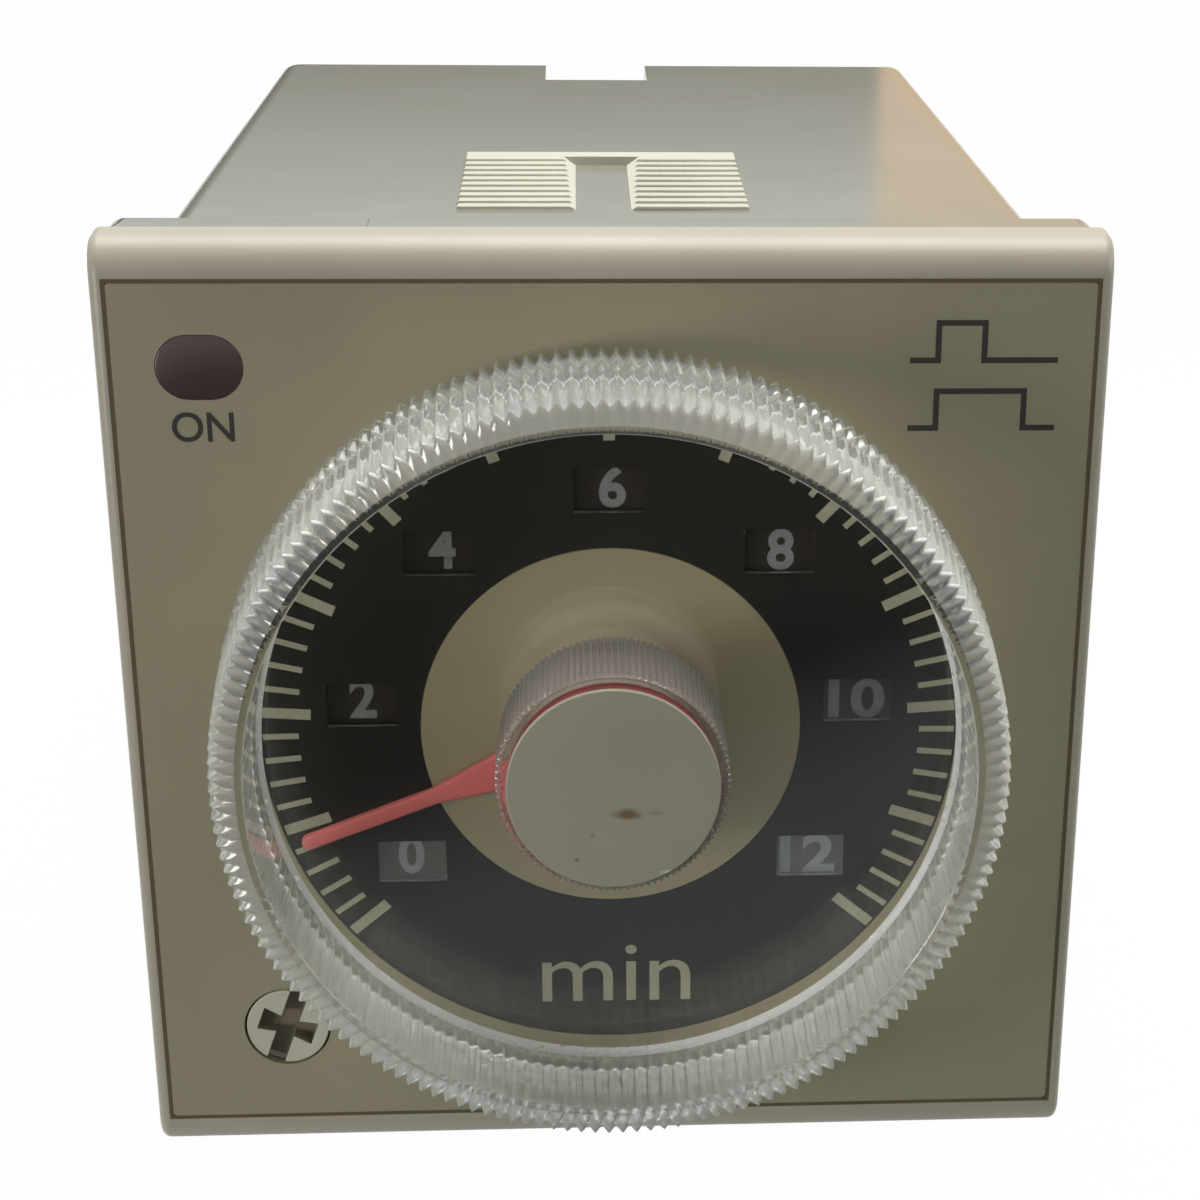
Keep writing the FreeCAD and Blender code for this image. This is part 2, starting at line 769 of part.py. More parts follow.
def make_pointer():
    body = new_body("pointer")
    turn(body, "Tube", [(0, pointer_back), (s.tube_radius, pointer_back), (s.tube_radius, cap_back),
                        (0, cap_back)])
    start = (360 - s.scale_sweep.value) / 2
    setting = start + s.pointer_setting.value / s.scale_units.value * s.scale_sweep.value
    along = clockwise(setting)
    across = (-along[1], along[0])
    tip_half = s.pointer_width / 2
    bar_end = s.pointer_reach - tip_half
    arm_start = s.cap_plug_radius
    outline = [(arm_start, -s.pointer_root / 2), (s.pointer_neck, -tip_half), (bar_end, -tip_half),
               (bar_end, tip_half), (s.pointer_neck, tip_half), (arm_start, s.pointer_root / 2)]
    corners = [(u * along[0] + v * across[0], u * along[1] + v * across[1]) for u, v in outline]
    pointer_front = pointer_back + s.pointer_thickness
    pad(body, "Arm", [polygon(*corners)], pointer_back, pointer_front)
    round_end = circle(bar_end * along[0], bar_end * along[1], tip_half)
    pad(body, "Tip", [round_end], pointer_back, pointer_front)
    seat = s.cap_plug_radius + s.tube_gap
    pocket(body, "CapSeat", [circle(0, 0, seat)], plug_end - s.layer_gap, cap_back)
    pocket(body, "ShaftBore", [circle(0, 0, s.shaft_radius)], pointer_back, plug_end)
    wall = s.shaft_radius + s.tube_gap
    key = polygon((-s.shaft_radius, s.shaft_flat), (s.shaft_radius, s.shaft_flat),
                  (s.shaft_radius, wall), (-s.shaft_radius, wall))
    pad(body, "ShaftKey", [key], pointer_back, shaft_end)


def make_dial_cap():
    body = new_body("dial_cap")
    turn(body, "Cap", [(0, plug_end), (s.cap_plug_radius, plug_end), (s.cap_plug_radius, cap_back),
                       (s.cap_radius, cap_back), (s.cap_radius, cap_front), (0, cap_front)])
    fillet(body, "CapRound", s.cap_round, lambda edge: lies_at(edge, cap_front.value))


def make_dial_shaft():
    foot = board_front + s.pot_floor + s.layer_gap
    stem = rod("Stem", (0, 0, foot), shaft_end - foot, s.shaft_radius)
    flat = block("StemFlat", (-s.shaft_radius, s.shaft_radius), (s.shaft_flat, 2 * s.shaft_radius),
                 (pointer_back - s.layer_gap, shaft_end + s.layer_gap))
    node(cut("dial_shaft", stem, flat))


def make_front_electronics():
    can = rod("PotCan", (0, 0, board_front), s.flange_depth - board_front, s.pot_radius)
    bore = rod("PotBore", (0, 0, board_front + s.pot_floor), s.flange_depth - board_front,
               s.shaft_radius + s.run_gap)
    node(cut("potentiometer", can, bore))

    half = s.switch_side / 2
    shell = block("SwitchShell", (selector_x - half, selector_x + half),
                  (selector_y - half, selector_y + half), (board_front, s.flange_depth))
    socket_floor = disc_back - s.selector_reach - s.layer_gap
    socket = rod("SwitchSocket", (selector_x, selector_y, socket_floor), s.flange_depth - socket_floor,
                 s.selector_shaft + s.run_gap)
    node(cut("rotary_switch", shell, socket))

    across = (-board_half, board_half)
    block_node("front_board", across, across, (board_back, board_front))

    led = new_body("led")
    lamp_top = panel_back - s.layer_gap
    lamp_back = lamp_top - s.led_body
    pad(led, "Lamp", [circle(led_x, led_y, s.led_radius)], lamp_back, lamp_top)
    fillet(led, "LampDome", s.led_radius * DOME_SHARE, lambda edge: lies_at(edge, lamp_top.value))
    lead = s.lead_side / 2
    leads = [rectangle(lead, lead, led_x, led_y + side * s.lead_pitch / 2) for side in (-1, 1)]
    pad(led, "Leads", leads, board_front, lamp_back)


def make_boards():
    height = (-side_half, side_half)
    block_node("main_board", (-side_outer, -side_inner), height, (base_front, board_back))
    block_node("power_board", (side_inner, side_outer), height, (base_front, board_back))


def make_power_parts():
    """Storage capacitors, film capacitor, varistor and rectifier on the power board."""
    reach = side_inner - s.capacitor_length
    crimp_x = side_inner - s.capacitor_crimp_rise
    for i in range(2):
        z = board_back - s.capacitor_radius - s.capacitor_pitch * i - s.board_thickness
        can = rod(f"CapacitorCan{i}", (reach, s.capacitor_row, z), s.capacitor_length,
                  s.capacitor_radius, "x")
        ring = rod(f"CapacitorRing{i}", (crimp_x, s.capacitor_row, z), s.capacitor_crimp,
                   s.capacitor_radius + s.capacitor_crimp, "x")
        neck = rod(f"CapacitorNeck{i}", (crimp_x, s.capacitor_row, z), s.capacitor_crimp,
                   s.capacitor_radius - s.capacitor_crimp, "x")
        node(cut(f"storage_capacitor_{i + 1}", can, cut(f"CapacitorCrimp{i}", ring, neck)))
    film_front = board_back - s.board_thickness
    block_node("film_capacitor", (side_inner - s.film_height, side_inner),
               (relay_mid - s.film_width / 2, relay_mid + s.film_width / 2),
               (film_front - s.film_length, film_front))
    varistor_z = film_front - s.film_length - s.board_thickness - s.varistor_thickness
    rod_node("varistor", (side_inner - s.varistor_radius, relay_mid, varistor_z),
             s.varistor_thickness, s.varistor_radius)
    rectifier_front = board_back - s.capacitor_pitch * 3
    rectifier_top = side_half - s.capacitor_row
    block_node("rectifier", (side_inner - s.rectifier_height, side_inner),
               (rectifier_top - s.rectifier_width, rectifier_top),
               (rectifier_front - s.rectifier_length, rectifier_front))


def make_timing_parts():
    """The timing chip and four resistors on the main board."""
    chip_foot = s.chip_width / 2
    chip_front = board_back - s.chip_length
    block_node("timer_chip", (-side_inner, s.chip_height - side_inner),
               (chip_foot, chip_foot + s.chip_width), (chip_front - s.chip_length, chip_front))
    row = chip_foot + s.chip_width + s.board_thickness
    for i in range(4):
        z = board_back - s.resistor_pitch * (i + 1)
        rod_node(f"resistor_{i + 1}", (s.resistor_radius - side_inner, row, z), s.resistor_length,
                 s.resistor_radius, "y")


def make_relay():
    mid = relay_mid
    near = mid - s.relay_width / 2
    far = mid + s.relay_width / 2
    relay_front = -s.relay_setback
    relay_rear = relay_front - s.relay_length
    base_foot = -side_inner
    base_top = base_foot + s.relay_base
    coil_x = base_top + s.coil_rise
    block_node("relay_base", (base_foot, base_top), (near, far), (relay_rear, relay_front))

    pole_face = relay_front - s.pole_setback
    bobbin_front = pole_face - s.pole_thickness
    coil_front = bobbin_front - s.bobbin_flange
    coil_rear = coil_front - s.coil_length
    bobbin_rear = coil_rear - s.bobbin_flange
    bobbin_top = coil_x + s.bobbin_side / 2
    flange_y = (mid - s.bobbin_side / 2, mid + s.bobbin_side / 2)
    flanges = [block(f"BobbinFlange{i}", (base_top, bobbin_top), flange_y, (z, z + s.bobbin_flange))
               for i, z in enumerate((bobbin_rear, coil_front))]
    length = bobbin_front - bobbin_rear
    tube = rod("BobbinTube", (coil_x, mid, bobbin_rear), length, s.bobbin_tube)
    bore = rod("BobbinBore", (coil_x, mid, bobbin_rear), length, s.core_radius + s.run_gap)
    node(cut("relay_bobbin", fuse("BobbinBlank", tube, *flanges), bore))

    winding = rod("Winding", (coil_x, mid, coil_rear), s.coil_length, s.coil_radius)
    hollow = rod("WindingHollow", (coil_x, mid, coil_rear), s.coil_length, s.bobbin_tube)
    node(cut("relay_coil", winding, hollow))

    yoke_rear = bobbin_rear - s.yoke_thickness
    stem = rod("CoreStem", (coil_x, mid, yoke_rear), pole_face - yoke_rear, s.core_radius)
    pole = rod("Pole", (coil_x, mid, bobbin_front), s.pole_thickness, s.pole_radius)
    node(fuse("relay_core", stem, pole))

    yoke_inner = bobbin_top + s.yoke_gap
    yoke_outer = yoke_inner + s.yoke_thickness
    yoke_front = pole_face - 3 * s.air_gap
    yoke_y = (mid - s.yoke_width / 2, mid + s.yoke_width / 2)
    back_leg = block("YokeBack", (coil_x - s.bobbin_side / 2, yoke_outer), yoke_y, (yoke_rear, bobbin_rear))
    long_leg = block("YokeLeg", (yoke_inner, yoke_outer), yoke_y, (yoke_rear, yoke_front))
    rivet_hole = rod("YokeHole", (coil_x, mid, yoke_rear), s.yoke_thickness, s.core_radius + s.run_gap)
    node(cut("relay_yoke", fuse("YokeBlank", back_leg, long_leg), rivet_hole))

    # The armature is drawn closed against the pole, then swung open about the yoke's edge
    plate_rear = pole_face + s.air_gap
    plate_face = plate_rear + s.armature_thickness
    pivot = Vector((yoke_inner + s.yoke_thickness / 2).value, mid.value, (pole_face - s.air_gap).value)
    swing = Rotation(Vector(0, 1, 0), s.armature_swing.value)
    opened = STAND.multiply(Placement(pivot, swing)).multiply(Placement(-pivot, Rotation()))
    plate_y = (mid - s.armature_width / 2, mid + s.armature_width / 2)
    plate_low = coil_x - s.pole_radius - s.air_gap
    swing_sine = math.sin(math.radians(s.armature_swing.value))
    lip_gap = (s.yoke_thickness + 3 * s.air_gap) * swing_sine + s.air_gap
    lip_inner = yoke_outer + lip_gap
    lip_outer = lip_inner + s.yoke_gap
    plate = block("ArmaturePlate", (plate_low, lip_outer), plate_y, (plate_rear, plate_face))
    lip = block("ArmatureLip", (lip_inner, lip_outer), plate_y, (yoke_front - s.yoke_thickness, plate_face))
    node(fuse("relay_armature", plate, lip), opened)

    contact_x = coil_x - s.contact_drop
    blade_front = plate_face + s.blade_thickness
    blade_y = (mid - s.blade_width / 2, mid + s.blade_width / 2)
    contact_low = contact_x - s.contact_radius
    blade = block("Blade", (contact_low, coil_x + s.contact_radius), blade_y, (plate_face, blade_front))
    studs_rear = plate_face - s.contact_height
    stud = rod("MovingStuds", (contact_x, mid, studs_rear), 2 * s.contact_height + s.blade_thickness,
               s.contact_radius)
    node(fuse("moving_contact", blade, stud), opened)

    post_top = contact_x + s.contact_radius
    closed_face = studs_rear - s.air_gap
    lift = (pivot.x - contact_low.value) * swing_sine
    open_face = blade_front + s.contact_height + s.air_gap + lift
    fixed = (("normally_open_contact", closed_face - s.contact_height, closed_face - 2 * s.contact_height),
             ("normally_closed_contact", open_face, open_face + s.contact_height))
    for name, button_low, post_low in fixed:
        button = rod(name + "_button", (contact_x, mid, button_low), s.contact_height, s.contact_radius)
        post_high = post_low + s.contact_height
        post = block(name + "_post", (base_top, post_top), blade_y, (post_low, post_high))
        node(fuse(name, button, post))

    cover_top = yoke_outer + s.relay_headroom + s.relay_wall
    shell = block("CoverShell", (base_top, cover_top), (near, far), (relay_rear, relay_front))
    hollow = block("CoverHollow", (base_top, cover_top - s.relay_wall),
                   (near + s.relay_wall, far - s.relay_wall),
                   (relay_rear + s.relay_wall, relay_front - s.relay_wall))
    node(cut("relay_cover", shell, hollow))


NOSE_IN = 0.3
NOSE_UP = 0.35


def pin_places():
    """The pin centres, evenly round the circle with the key between the first and the last."""
    count = int(s.pin_count.value)
    places = []
    for i in range(count):
        x, y = clockwise(360 * (i + 0.5) / count)
        places.append((s.pin_circle / 2 * x, s.pin_circle / 2 * y))
    return places


def make_plug():
    body = new_body("plug_base")
    half = inner_half - s.base_gap
    rear = -s.case_depth
    pad(body, "BasePlate", [rectangle(half, half)], rear, base_front)
    notch_middle = half - s.notch_depth / 2 + s.base_gap
    notches = [rectangle(s.notch_width / 2, s.notch_depth / 2 + s.base_gap, 0, side * notch_middle)
               for side in (-1, 1)]
    pocket(body, "BaseNotches", notches, rear, base_front)
    tip = rear - s.key_length
    turn(body, "KeyPost", [(0, tip), (s.key_radius - s.key_chamfer, tip),
                           (s.key_radius, tip + s.key_chamfer), (s.key_radius, base_front), (0, base_front)])
    rib = polygon((-s.key_rib / 2, 0), (s.key_rib / 2, 0), (s.key_rib / 2, -s.key_radius - s.key_rib_height),
                  (-s.key_rib / 2, -s.key_radius - s.key_rib_height))
    pad(body, "KeyRib", [rib], tip + 2 * s.key_chamfer, rear)
    holes = [circle(x, y, s.pin_stem + s.pin_gap) for x, y in pin_places()]
    pocket(body, "PinHoles", holes, rear, base_front)

    pin_end = rear - s.pin_length
    collar_top = base_front + s.pin_collar_height
    tail_top = collar_top + s.pin_tail
    for i, (x, y) in enumerate(pin_places(), start=1):
        pin = new_body(f"plug_pin_{i}", None)
        turn(pin, f"Pin{i}", [(0, pin_end), (s.pin_radius - s.pin_round, pin_end),
                              (s.pin_radius - s.pin_round * NOSE_IN, pin_end + s.pin_round * NOSE_UP),
                              (s.pin_radius, pin_end + s.pin_round), (s.pin_radius, rear),
                              (s.pin_stem, rear), (s.pin_stem, base_front),
                              (s.pin_collar, base_front), (s.pin_collar, collar_top),
                              (s.pin_stem, collar_top), (s.pin_stem, tail_top), (0, tail_top)])
        place(pin, (x, y, 0), Rotation(), standing=True)


make_case()
make_bezel()
make_front_panel()
make_scale_label()
make_led_window()
make_chassis()
make_number_disc()
make_selector()
make_dial()
make_pointer()
make_dial_cap()
make_dial_shaft()
make_front_electronics()
make_boards()
make_power_parts()
make_timing_parts()
make_relay()
make_plug()
doc.recompute()
for item in nodes:
    if placements[item.Name]:
        item.Placement = placements[item.Name]
doc.recompute()

for item in doc.Objects:
    if "Invalid" in item.State or "Error" in item.State:
        raise RuntimeError(f"{item.Name} did not rebuild: {item.State}")
for item in nodes:
    if item.Shape.isNull() or not item.Shape.isValid():
        raise RuntimeError(f"{item.Label} has no valid solid")

os.makedirs("parts", exist_ok=True)
for item in nodes:
    item.Shape.exportStep(f"parts/{item.Label}.step")
    print(f"{item.Label}: {len(item.Shape.Solids)} solid, {item.Shape.Volume:.2f} mm3")
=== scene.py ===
"""A plug-in timer relay: the looks of every piece, the studio and the camera."""

import math
from types import SimpleNamespace

import bmesh
import bpy
from mathutils import Matrix, Vector


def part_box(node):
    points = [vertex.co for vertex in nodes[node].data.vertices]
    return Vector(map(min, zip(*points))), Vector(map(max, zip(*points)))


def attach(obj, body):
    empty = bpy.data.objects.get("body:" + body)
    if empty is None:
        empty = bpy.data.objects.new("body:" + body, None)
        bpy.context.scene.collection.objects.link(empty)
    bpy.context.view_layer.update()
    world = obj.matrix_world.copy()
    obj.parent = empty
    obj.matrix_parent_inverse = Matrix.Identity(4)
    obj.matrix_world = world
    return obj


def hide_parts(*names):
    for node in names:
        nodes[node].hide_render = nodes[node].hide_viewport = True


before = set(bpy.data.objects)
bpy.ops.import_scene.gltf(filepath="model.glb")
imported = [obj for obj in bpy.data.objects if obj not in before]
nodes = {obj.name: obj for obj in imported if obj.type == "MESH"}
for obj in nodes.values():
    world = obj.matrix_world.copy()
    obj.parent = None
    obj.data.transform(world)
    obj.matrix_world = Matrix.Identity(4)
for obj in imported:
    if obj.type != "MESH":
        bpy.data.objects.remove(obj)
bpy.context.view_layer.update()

MM = 0.001
WHITE = (1, 1, 1, 1)

# Places on the object are written as seen from the front, in millimetres:
# x to the right, y up, and h towards the viewer from the flange's rear face.


def at(x, y, h):
    """A place seen from the front, as a point of the frame."""
    return Vector((x, -h, y)) * MM


def extent(node):
    """A node's limits, seen from the front."""
    low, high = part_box(node)
    return SimpleNamespace(left=low.x / MM, right=high.x / MM, bottom=low.z / MM, top=high.z / MM,
                           back=-high.y / MM, front=-low.y / MM)


dial = extent("dial")
cap = extent("dial_cap")
pointer = extent("pointer")
label = extent("scale_label")
panel = extent("front_panel")
bezel = extent("bezel")
lens = extent("led_window")
disc = extent("number_disc")
selector = extent("selector")

# The setting scale: twelve units over the dial's sweep, clockwise from lower left
SCALE_UNITS = 12
MARKS_PER_UNIT = 5
SCALE_SWEEP = 259.2
SCALE_START = (360 - SCALE_SWEEP) / 2
POINTER_SETTING = 0.86
NUMBER_RADIUS = 12.25
NUMBER_STEP = 41.75
WINDOW_STEPS = range(-3, 4)
WINDOW_WIDTH = 3.4
WINDOW_HEIGHT = 2.25
PRINT_LIFT = 0.012


def clockwise(degrees, radius=1.0):
    """The point this far clockwise from straight down."""
    angle = math.radians(degrees)
    return -radius * math.sin(angle), -radius * math.cos(angle)


# Materials


def linear(code):
    """An sRGB hex colour as linear red, green, blue and alpha."""
    channels = [int(code[i:i + 2], 16) / 255 for i in (1, 3, 5)]
    return (*[c / 12.92 if c <= 0.04045 else ((c + 0.055) / 1.055) ** 2.4 for c in channels], 1.0)


def per_mm(size):
    """The texture scale at which a pattern's features are this many millimetres wide."""
    return 1 / (size * MM)


def add_node(material, kind, inputs=None, **settings):
    """Add a node with its settings; an input is a value or another node's output."""
    tree = material.node_tree
    item = tree.nodes.new(kind)
    for name, value in settings.items():
        setattr(item, name, value)
    for name, value in (inputs or {}).items():
        if isinstance(value, bpy.types.NodeSocket):
            tree.links.new(value, item.inputs[name])
        else:
            item.inputs[name].default_value = value
    return item


def new_material(name):
    material = bpy.data.materials.new(name)
    material.use_nodes = True
    material.node_tree.nodes.clear()
    return material


def finish_surface(material, shader):
    add_node(material, "ShaderNodeOutputMaterial", {"Surface": shader.outputs[0]})
    return material


# Moulded plastic: the mould's grain is about a tenth of a millimetre, drawn coarser so that it
# shows, and the tone drifts over patches as wide as the flow of the melt
GRAIN_SIZE = 0.35
GRAIN_DEPTH = 0.012
GRAIN_STRENGTH = 0.35
FLOW_SIZE = 9.0
FLOW_LOW, FLOW_HIGH = 0.3, 0.7
POLISH_SPREAD = 0.06
MOULDED_IOR = 1.53


def moulded(name, colour, shade, roughness, grain=GRAIN_SIZE, grain_depth=GRAIN_DEPTH):
    """Moulded plastic: an even skin with a fine grain, faintly uneven in tone and polish."""
    material = new_material(name)
    place = add_node(material, "ShaderNodeTexCoord").outputs["Object"]
    tone = add_node(material, "ShaderNodeTexNoise", {
        "Vector": place, "Scale": per_mm(FLOW_SIZE), "Detail": 3.0})
    skin = add_node(material, "ShaderNodeTexNoise", {
        "Vector": place, "Scale": per_mm(grain), "Detail": 2.0})
    spread = add_node(material, "ShaderNodeMapRange", {
        "Value": tone.outputs[0], "From Min": FLOW_LOW, "From Max": FLOW_HIGH})
    colours = add_node(material, "ShaderNodeMix", {
        "Factor": spread.outputs[0], 6: linear(colour), 7: linear(shade)}, data_type="RGBA")
    polish = add_node(material, "ShaderNodeMapRange", {
        "Value": tone.outputs[0], "To Min": roughness - POLISH_SPREAD, "To Max": roughness + POLISH_SPREAD})
    relief = add_node(material, "ShaderNodeBump", {
        "Height": skin.outputs[0], "Strength": GRAIN_STRENGTH, "Distance": grain_depth * MM})
    shader = add_node(material, "ShaderNodeBsdfPrincipled", {
        "Base Color": colours.outputs[2], "Roughness": polish.outputs[0], "IOR": MOULDED_IOR,
        "Normal": relief.outputs[0]})
    return finish_surface(material, shader)


HAZE_SIZE = 1.6
HAZE_LOW, HAZE_HIGH = 0.4, 1.6
POLYCARBONATE_IOR = 1.58


def clear_moulded(name, tint, roughness, shadow, through=1.0):
    """Clear polycarbonate: bright, with a faint moulding haze, and its shadow lets light through."""
    material = new_material(name)
    place = add_node(material, "ShaderNodeTexCoord").outputs["Object"]
    haze = add_node(material, "ShaderNodeTexNoise", {
        "Vector": place, "Scale": per_mm(HAZE_SIZE), "Detail": 3.0})
    polish = add_node(material, "ShaderNodeMapRange", {
        "Value": haze.outputs[0], "To Min": roughness * HAZE_LOW, "To Max": roughness * HAZE_HIGH})
    body = add_node(material, "ShaderNodeBsdfPrincipled", {
        "Base Color": linear(tint), "Roughness": polish.outputs[0], "IOR": POLYCARBONATE_IOR,
        "Transmission Weight": through})
    unblocked = add_node(material, "ShaderNodeBsdfTransparent", {"Color": linear(shadow)})
    path = add_node(material, "ShaderNodeLightPath")
    shader = add_node(material, "ShaderNodeMixShader", {
        0: path.outputs["Is Shadow Ray"], 1: body.outputs[0], 2: unblocked.outputs[0]})
    return finish_surface(material, shader)


# A screen's threads are a tenth of a millimetre apart, drawn coarser so that the ink's cover shows
THREAD_SIZE = 0.25
INK_THIN, INK_THICK = 0.82, 1.12
INK_IOR = 1.5


def printed(name, colour, roughness):
    """Screen-printed ink: thin, satin, a little uneven where the screen's threads lay."""
    material = new_material(name)
    place = add_node(material, "ShaderNodeTexCoord").outputs["Object"]
    threads = add_node(material, "ShaderNodeTexNoise", {
        "Vector": place, "Scale": per_mm(THREAD_SIZE), "Detail": 2.0})
    cover = add_node(material, "ShaderNodeMapRange", {
        "Value": threads.outputs[0], "To Min": INK_THIN, "To Max": INK_THICK})
    tone = add_node(material, "ShaderNodeMix", {
        "Factor": 1.0, 6: linear(colour), 7: cover.outputs[0]}, data_type="RGBA", blend_type="MULTIPLY")
    shader = add_node(material, "ShaderNodeBsdfPrincipled", {
        "Base Color": tone.outputs[2], "Roughness": roughness, "IOR": INK_IOR})
    return finish_surface(material, shader)


# Draw lines are finer than this on the real pins, drawn coarser so that they show
DRAW_LINE_SIZE = 0.3
DRAW_STRETCH = (1.0, 0.08, 1.0)
DRAW_LINE_ROUGHNESS = 0.06


def metal(name, colour, roughness):
    """Plated or drawn metal: bright, with fine draw lines from front to back."""
    material = new_material(name)
    place = add_node(material, "ShaderNodeTexCoord").outputs["Object"]
    stretched = add_node(material, "ShaderNodeMapping", {"Vector": place, "Scale": DRAW_STRETCH})
    lines = add_node(material, "ShaderNodeTexNoise", {
        "Vector": stretched.outputs[0], "Scale": per_mm(DRAW_LINE_SIZE)})
    polish = add_node(material, "ShaderNodeMapRange", {
        "Value": lines.outputs[0], "To Min": roughness - DRAW_LINE_ROUGHNESS,
        "To Max": roughness + DRAW_LINE_ROUGHNESS})
    shader = add_node(material, "ShaderNodeBsdfPrincipled", {
        "Base Color": linear(colour), "Metallic": 1.0, "Roughness": polish.outputs[0]})
    return finish_surface(material, shader)


# ABS from a polished tool: the case mirrors the room softly, waved by shrinkage 2.5 mm wide
case_abs = moulded("grey_abs_glossy", "#949284", "#8C8A7D", 0.14, grain=2.5, grain_depth=0.01)
# ABS from a spark-eroded tool: pale, dry and matt, so the pads' teeth show by shade alone
pad_abs = moulded("cream_abs_spark_matt", "#C2BFAD", "#BCB9A7", 0.6)
# ABS from a satin tool: a soft sheen along the bezel's rounded edges
bezel_abs = moulded("warm_grey_abs_satin", "#B0A996", "#A9A28F", 0.42)
# ABS from a finely etched tool: a flat olive grey with no highlight
panel_abs = moulded("olive_grey_abs_fine_matt", "#9A9378", "#938C72", 0.5)
# ABS from a satin tool: a pale head that shows up its slots
selector_abs = moulded("cream_abs_selector", "#C4C0AC", "#BDB9A5", 0.45)
# The same ABS darkened to dull brown as painted shade on the slot walls, so the slots look dark
slot_painted_shade = moulded("selector_slot_painted_shade", "#786E5C", "#706655", 0.6)
# ABS dyed black in the mass: dark in every gap that it shows through
chassis_abs = moulded("black_abs", "#2A2828", "#232222", 0.5)
# Moulded disc, dyed dark brown: a quiet ground behind the numbers
disc_card = moulded("dark_brown_disc", "#3A3332", "#332D2C", 0.55)
# Acetal dyed red: a waxy soft red under the clear dial
pointer_red = moulded("red_acetal", "#DC7373", "#D66D6D", 0.38)
# The same acetal in a darker copy, painted shade for its place deep in the hub: a dark red line round the
# cap
hub_red_painted_shade = moulded("red_acetal_painted_shade", "#7C3438", "#742F33", 0.45)
# Phenolic pressed in a hot tool: dense black with a dull gloss
base_phenolic = moulded("black_phenolic", "#262423", "#1F1E1D", 0.4)
# Acrylic dyed smoky red: dark and smooth while the lamp is off
lens_smoked = moulded("smoked_red_lens", "#493938", "#423332", 0.32, grain=0.9, grain_depth=0.004)
# Glass-fibre laminate under green lacquer: even and half glossy
board_laminate = moulded("green_laminate", "#2F5A39", "#294F33", 0.4)
# Epoxy pressed round a component: plain black, slightly matt
part_black = moulded("black_epoxy", "#1E1E1E", "#191919", 0.45)
# Lacquer that a component was dipped in: smooth, with a clear shine
part_blue = moulded("blue_lacquer", "#2C4A7C", "#27426F", 0.3)
part_tan = moulded("tan_lacquer", "#C0A070", "#B59566", 0.4)
# Copper wire wound under enamel: a warm brown shine
winding_copper = moulded("enamelled_copper", "#8A4A28", "#7C4022", 0.3)
# Nylon moulded without dye: creamy and waxy
bobbin_nylon = moulded("cream_nylon", "#D8CFB8", "#CFC6AE", 0.45)
# Epoxy dyed red round the lamp: smooth and milky
lamp_red = moulded("diffused_red_lamp", "#A02420", "#93201C", 0.3)
# Polycarbonate from a polished tool: as clear as glass over the scale
clear_dial = clear_moulded("clear_polycarbonate", "#F7F6F1", 0.03, "#DDDCD7")
# The same where the tool's ribs were cut: bright grey-white columns that scatter the light
ribbed_rim = clear_moulded("ribbed_polycarbonate", "#F5F6F2", 0.06, "#CFCFCA", through=0.72)
# The same on the rim's front, tinted grey as painted shade: a greyer band where the dark scale shows through
lip_painted_shade = clear_moulded("lip_polycarbonate_painted_shade", "#DEDFDB", 0.12, "#E0E0DB", through=0.95)
# The same, left frosted in the corner at the foot of the wall: a pale ring round the scale
frosted_foot = clear_moulded("frosted_polycarbonate", "#F4F5F2", 0.25, "#CFCFCA", through=0.35)
# The same with fine ribs round the hub: tinted pink, a painted reflection of the red tube inside
hub_ribs = clear_moulded("ribbed_collar", "#EAE2E3", 0.07, "#CFCFCA", through=0.9)
# Polycarbonate box over the relay: clear, a little yellow
clear_cover = clear_moulded("clear_relay_cover", "#E8E6DC", 0.1, "#E0DED4")
# Polyester film in the windows: clear, and hazed at the two ends of the scale
clear_film = clear_moulded("clear_window_film", "#F0EFEA", 0.06, "#F0EFEA", through=0.995)
hazy_film = clear_moulded("hazed_window_film", "#EFF1F2", 0.06, "#F0EFEA", through=0.93)
# Screen-printed inks: flat and satin, thinner between the threads
scale_black = printed("black_screen_print", "#1B1918", 0.42)
mark_ink = printed("warm_grey_ink", "#A5A491", 0.5)
number_ink = printed("blue_grey_ink", "#C2C8DA", 0.5)
legend_ink = printed("black_legend_ink", "#24211E", 0.5)
# Painted shade for the gap round the panel: matt brown, drawn as a thin uneven coat
gap_painted_shade = printed("brown_gap_painted_shade", "#5C5036", 0.8)
# Nickel plate on drawn pins: bright and faintly warm
nickel = metal("nickel_plate", "#C9C4BA", 0.28)
# Rolled brass: yellow, with a soft shine
brass = metal("brass_contact", "#C9AE6A", 0.3)
# Zinc plate on steel: a plain grey shine
steel = metal("zinc_plated_steel", "#B8B8B4", 0.34)


# Meshes

SMOOTH_ANGLE = 35
SKIN_SMOOTH_ANGLE = 40
SHARP_ANGLE = math.radians(50)
FLAT_ANGLE = math.radians(0.5)
RING_WELD = 1e-7
SKIN_WELD = 1e-6
LETTER_CURVE_STEPS = 6
LETTER_WEIGHT = 0.012


def add_piece(name, mesh, material, body, stands_for=()):
    """Put a mesh on the object: it rides on a body and takes a finish."""
    piece = bpy.data.objects.new(name, mesh)
    bpy.context.scene.collection.objects.link(piece)
    mesh.materials.clear()
    mesh.materials.append(material)
    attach(piece, body)
    if stands_for:
        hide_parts(*stands_for)
    return piece


def smooth_by_angle(mesh, degrees=SMOOTH_ANGLE):
    mesh.shade_smooth()
    mesh.set_sharp_from_angle(angle=math.radians(degrees))


